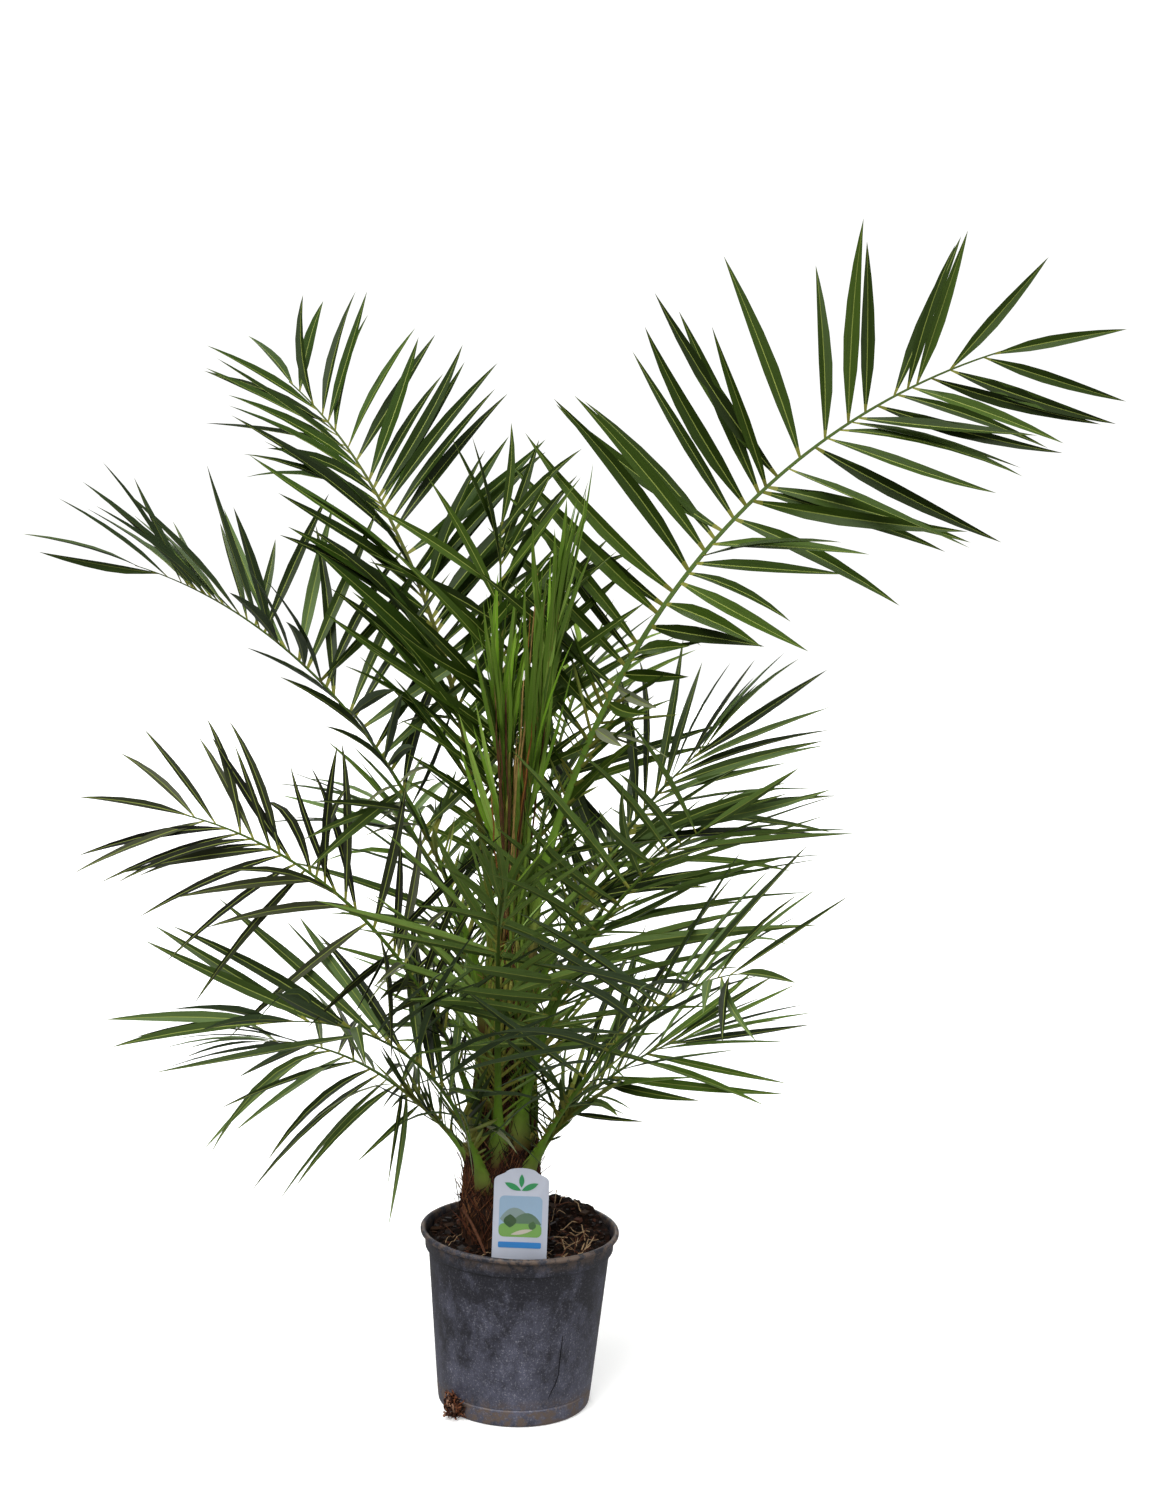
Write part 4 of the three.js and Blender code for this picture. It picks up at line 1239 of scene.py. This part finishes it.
def lay_ends(heap, curve, outermost, settings, dice, slim):
    """The leaflet that ends the stalk, and small ones at the blade's foot that have dried and gone limp."""
    ahead, length = dice.uniform(2, 9), 0.9 * outermost["length"]
    last = dict(outermost, t=0.99, ahead=ahead, lift=0, length=length)
    lay_blade(heap, curve, last, settings, dice, FIRST_GREEN, slim)
    for _ in range(WITHERED):
        limp = dict(
            outermost, hand=int(dice.choice([1, -1])), ahead=dice.uniform(45, 85),
            t=curve.frond["bare"] * dice.uniform(1, 1.6), lift=dice.normal(-10, 25),
            turn=dice.normal(0, 0.6), droop=dice.uniform(0.1, 0.6),
            length=dice.uniform(45, 110), half=dice.uniform(2.5, 4.5),
        )
        lay_blade(heap, curve, limp, settings, dice, DRY)


# Greens of each age, most common first: the youngest are bright, the outer and older greyer. Besides their
# own tone they hold painted light and shade: each age's second and fourth greens are darkened as painted
# shade, and its third is lightened as painted light.
GREENS = {
    "spear": ["#688e25", "#7c9f34", "#4a651e", "#819f44"],
    "young": ["#30430d", "#283909", "#3c5115", "#202d08"],
    # The top left frond's deep greens below are darkened as painted shade.
    "deep": ["#2b410a", "#223307", "#3a5314", "#1a2705"],
    # The two greens below, of the fronds at and near the crown's centre, are lightened as painted light, for
    # the light that reaches in among the fronds.
    "inner": ["#67822b", "#485f1a", "#758f4a", "#2a3b10"],
    "grown": ["#4a6320", "#304312", "#617b42", "#1e2b0c"],
    "outer": ["#35461a", "#222e10", "#4f6335", "#19220c"],
    # The left middle frond's greens below are greyer in their own tone and darkened as painted shade.
    "grey_painted_shade": ["#272c17", "#1a1e0f", "#3e422c", "#12150b"],
}
# The undersides of each age, with the same painted light and shade as its greens.
UNDERSIDES = {
    "spear": "#5a7726", "young": "#374a15", "deep": "#324612", "inner": "#5f7733", "grown": "#4a5f28",
    "outer": "#3c4c2e", "grey_painted_shade": "#2f3421",
}
SLIM = {"spear": 0.9, "young": 1, "deep": 1.12, "inner": 0.88, "grown": 0.88, "outer": 0.96, "grey_painted_shade": 0.96}
# How each frond has aged: its greens, which also hold painted light and shade, the share of gaps that hold a
# finer leaflet, the share of leaflets lost, how far the rest stray from their row in degrees, and the share
# that hang.
AGEING = {
    "spear_unopened": ("spear", 1, 0, 2, 0), "spear_young": ("spear", 1, 0, 2, 0),
    "frond_top_right": ("young", 0.35, 0.04, 6, 0.03), "frond_top_left": ("deep", 0.5, 0, 6, 0.02),
    "frond_back_tall": ("young", 0.1, 0, 12, 0), "frond_left_upper": ("outer", 0.4, 0, 11, 0),
    "frond_right_back": ("outer", 0.1, 0.05, 9, 0.05), "frond_back_upper": ("inner", 0.15, 0.05, 13, 0.05),
    "frond_left_middle": ("grey_painted_shade", 0.3, 0.06, 11, 0.12), "frond_right_middle": ("grown", 0, 0.1, 9, 0.06),
    "frond_front": ("inner", 0.35, 0, 13, 0.1), "frond_left_front": ("outer", 0.12, 0.12, 13, 0.2),
    "frond_right_front": ("outer", 0.05, 0.1, 10, 0.04), "frond_left_low": ("outer", 0.15, 0.08, 14, 0.25),
    "frond_right_low": ("grown", 0.2, 0.06, 9, 0),
}
BACK = ("grown", 0.2, 0.05, 11, 0.1)
# Degrees by which a frond's leaflets spread wider than those of the solids: on its right, on its
# left, and at its tip on top of that.
SPLAY = {
    "frond_top_right": (11, 0, 0), "frond_left_upper": (8, 8, -30), "frond_right_middle": (22, 4, 0),
    "frond_right_back": (12, 0, 0),
}


class PALM_OT_stalks(bpy.types.Operator):
    """Draw out the leaf stalks, each along its curve from inside the trunk to its tip"""

    bl_idname = "palm.stalks"
    bl_label = "Leaf stalks"

    def execute(self, context):
        settings = context.scene.palm_frond
        green = stalk_rind(settings)
        tanned = stalk_rind(settings, "stalk_rind_tanned", 0.6)
        for frond in FRONDS:
            name = frond["name"] + "_stalk"
            slot = "spear_leaf" if frond["name"].startswith("spear") else "palm_leaf"
            rind = tanned if frond["name"] == "frond_top_left" else green
            finished(mesh_of(stalk_shape(frond), name), [rind], slot, crease=60)
        return {"FINISHED"}


class PALM_OT_leaflets(bpy.types.Operator):
    """Grow the leaflets on each stalk: those of the frame's fronds, with finer ones between them"""

    bl_idname = "palm.leaflets"
    bl_label = "Leaflets"

    def execute(self, context):
        settings = context.scene.palm_frond
        rib, foot = leaf_skin("leaflet_rib", "#7f8b40", 0.5), leaf_skin("leaflet_foot", "#737530", 0.5)
        skins, undersides = {}, {}
        for age, codes in GREENS.items():
            skins[age] = [leaf_skin(f"leaflet_{age}_{number}", code) for number, code in enumerate(codes)]
            undersides[age] = leaf_skin(f"leaflet_{age}_underside", UNDERSIDES[age], 0.55)
        dry = leaf_skin("leaflet_withered", "#6b7058", 0.7)
        for index, frond in enumerate(FRONDS):
            name = frond["name"]
            dice = np.random.default_rng(100 + index)
            age, fullness, lost, stray, hanging = AGEING.get(name, BACK)
            curve = StalkCurve(frond)
            leaflets = settled(grown_leaflets(frond, index), lost, stray, hanging, dice)
            splay = SPLAY.get(name, (0, 0, 0))
            for leaflet in leaflets:
                leaflet["ahead"] += splay[leaflet["hand"] < 0] + splay[2] * max(0, leaflet["u"] - 0.6) / 0.4
            leaflets = filled(leaflets, settings.fullness * fullness, dice)
            if age == "spear":
                leaflets = filled(leaflets, settings.fullness * fullness, dice)
            heap = Heap()
            for leaflet in leaflets:
                shade = FIRST_GREEN + int(dice.choice(len(GREEN_ODDS), p=GREEN_ODDS))
                if leaflet["length"] < SHORT * frond["leaf"]:
                    shade = DRY
                lay_blade(heap, curve, leaflet, settings, dice, shade, SLIM[age])
            if age != "spear":
                lay_spines(heap, curve, dice)
                outermost = max(leaflets, key=lambda one: one["t"])
                lay_ends(heap, curve, outermost, settings, dice, SLIM[age])
            slot = "spear_leaf" if age == "spear" else "palm_leaf"
            stuffs = [undersides[age], rib, foot, *skins[age], dry]
            finished(heap.mesh(name + "_leaflets"), stuffs, slot, name, crease=20)
        return {"FINISHED"}


class PALM_OT_crown_fibres(bpy.types.Operator):
    """Hang torn strips of the leaf sheaths on the spears at the heart of the crown"""

    bl_idname = "palm.crown_fibres"
    bl_label = "Crown fibres"

    def execute(self, context):
        dice = np.random.default_rng(23)
        heap = Heap()
        for number in range(160):
            young = number % 4 > 0
            turn, out = dice.uniform(0, 2 * pi), dice.uniform(4, 16)
            height, length = dice.uniform(430, 640), dice.uniform(90, 300)
            lean = dice.normal(0, 0.06, 2)
            if young:
                height, length, lean = dice.uniform(330, 560), dice.uniform(120, 260), lean * 0.5 + (0.03, 0)
            elif number % 12 == 0:
                turn, out = radians(dice.uniform(235, 285)), dice.uniform(12, 18)
                height, length = dice.uniform(500, 620), dice.uniform(200, 420)
            line = []
            for k in range(12):
                s = k / 11
                z = height + length * s
                wave = dice.normal(0, 0.7, 2) + lean * max(0, z - 540)
                away = max(out, trunk_radius(z) + 1.5 + 0.15 * out) if z < 560 else out
                x, y = polar(away, turn + 0.3 * s)
                line.append((TRUNK_X + x + wave[0], y + wave[1], z))
            slot = int(dice.integers(3, 5)) if young else int(dice.integers(0, 3))
            strand(heap, line, dice.uniform(1.6, 3.6) if young else dice.uniform(0.6, 1.7), slot, 4, 0.3)
        stuffs = plain_stuffs(
            ("sheath_strip_orange", "#80521f", 0.7, 8), ("sheath_strip_brown", "#55361b", 0.75, 8),
            ("sheath_strip_straw", "#8f7540", 0.65, 8), ("young_sheath_green", "#5b7322", 0.55, 12, 0.7),
            ("young_sheath_olive", "#6f6f2a", 0.55, 12, 0.7),
        )
        finished(heap.mesh("crown_fibres"), stuffs, "trunk_fibre", crease=180)
        return {"FINISHED"}


# ---- Stage ----------------------------------------------------------------

CAMERA = dict(place=(0.046, -2.4, 1.027), down=5.56, roll=2.22, sensor=36)  # metres, degrees, mm
STAGE_RADIUS, ROOM_LIGHT = 12, 0.36
# The suns: their direction, their strength as a share of the key light's, and their width in degrees.
SUNS = {
    "key": ((0.5, 0.75, -1), 1, 40), "fill": ((-1, 0.7, -0.4), 0.3, 60),
    "rim": ((0.2, -1, -0.9), 0.3, 40), "over": ((0, 0.1, -1), 0.36, 60),
}


def soft_sun(name, way, strength, spread):
    """A sun that shines along a direction, as wide in the sky as its spread in degrees."""
    lamp = bpy.data.lights.new(name, "SUN")
    lamp.energy, lamp.angle = strength, radians(spread)
    light = bpy.data.objects.new(name, lamp)
    light.rotation_euler = Vector(way).to_track_quat("-Z", "Y").to_euler()
    bpy.context.scene.collection.objects.link(light)


class PALM_OT_stage(bpy.types.Operator):
    """Set the pale floor and backdrop, the soft lights and the camera"""

    bl_idname = "palm.stage"
    bl_label = "Stage"

    def execute(self, context):
        settings = context.scene.palm_stage
        floor, dome = bmesh.new(), bmesh.new()
        bmesh.ops.create_circle(floor, cap_ends=True, segments=96, radius=STAGE_RADIUS)
        bmesh.ops.create_uvsphere(dome, u_segments=64, v_segments=32, radius=STAGE_RADIUS)
        bmesh.ops.bisect_plane(
            dome, geom=dome.verts[:] + dome.edges[:] + dome.faces[:], plane_co=(0, 0, -1 * MM),
            plane_no=(0, 0, 1), clear_inner=True,
        )
        screens = ("floor", floor, matt_paper(settings)), ("backdrop", dome, lit_paper(settings))
        for name, shape, stuff in screens:
            mesh = mesh_of(shape, name)
            mesh.materials.append(stuff)
            mesh.shade_smooth()
            screen = bpy.data.objects.new(name, mesh)
            context.scene.collection.objects.link(screen)
            # The paper lies under and stands behind the plant, but doesn't light it.
            screen.visible_diffuse = screen.visible_glossy = False
        screen.visible_shadow = False  # the backdrop's

        for name, (way, share, spread) in SUNS.items():
            soft_sun(name, way, settings.key * share, spread)
        world = bpy.data.worlds.new("pale_room")
        world.use_nodes = True
        sky = world.node_tree.nodes["Background"]
        sky.inputs["Color"].default_value = (1, 1, 1, 1)
        sky.inputs["Strength"].default_value = ROOM_LIGHT
        context.scene.world = world
        context.scene.view_settings.view_transform = "Standard"

        lens = bpy.data.cameras.new("camera")
        lens.lens, lens.sensor_width, lens.sensor_fit = settings.lens, CAMERA["sensor"], "AUTO"
        camera = bpy.data.objects.new("camera", lens)
        context.scene.collection.objects.link(camera)
        tilt = Matrix.Rotation(radians(90 - CAMERA["down"]), 4, "X")
        roll = Matrix.Rotation(radians(CAMERA["roll"]), 4, "Z")
        camera.matrix_world = Matrix.Translation(CAMERA["place"]) @ tilt @ roll
        context.scene.camera = camera
        return {"FINISHED"}


# ---- Add-on ---------------------------------------------------------------

OPERATORS = (
    PALM_OT_pot, PALM_OT_compost, PALM_OT_root_tuft, PALM_OT_label, PALM_OT_trunk, PALM_OT_stalks,
    PALM_OT_leaflets, PALM_OT_crown_fibres, PALM_OT_stage,
)
SETTINGS = {
    "palm_pot": PotSettings, "palm_compost": CompostSettings, "palm_trunk": TrunkSettings,
    "palm_frond": FrondSettings, "palm_label": LabelSettings, "palm_stage": StageSettings,
}


class PALM_PT_growth(bpy.types.Panel):
    """Lists the plant's pieces in the order in which they are made"""

    bl_idname = "PALM_PT_growth"
    bl_label = "Potted date palm"
    bl_space_type = "VIEW_3D"
    bl_region_type = "UI"
    bl_category = "Date Palm"

    def draw(self, context):
        for operator in OPERATORS:
            self.layout.operator(operator.bl_idname)
        for name, group in SETTINGS.items():
            box = self.layout.box()
            for value in group.__annotations__:
                box.prop(getattr(context.scene, name), value)


def register():
    for name, group in SETTINGS.items():
        bpy.utils.register_class(group)
        setattr(bpy.types.Scene, name, bpy.props.PointerProperty(type=group))
    for made in (*OPERATORS, PALM_PT_growth):
        bpy.utils.register_class(made)


def unregister():
    for made in (PALM_PT_growth, *reversed(OPERATORS)):
        bpy.utils.unregister_class(made)
    for name, group in SETTINGS.items():
        delattr(bpy.types.Scene, name)
        bpy.utils.unregister_class(group)


def main():
    register()
    bpy.ops.palm.pot()
    bpy.ops.palm.compost()
    bpy.ops.palm.root_tuft()
    bpy.ops.palm.label()
    bpy.ops.palm.trunk()
    bpy.ops.palm.stalks()
    bpy.ops.palm.leaflets()
    bpy.ops.palm.crown_fibres()
    bpy.ops.palm.stage()


if __name__ == "__main__":
    main()
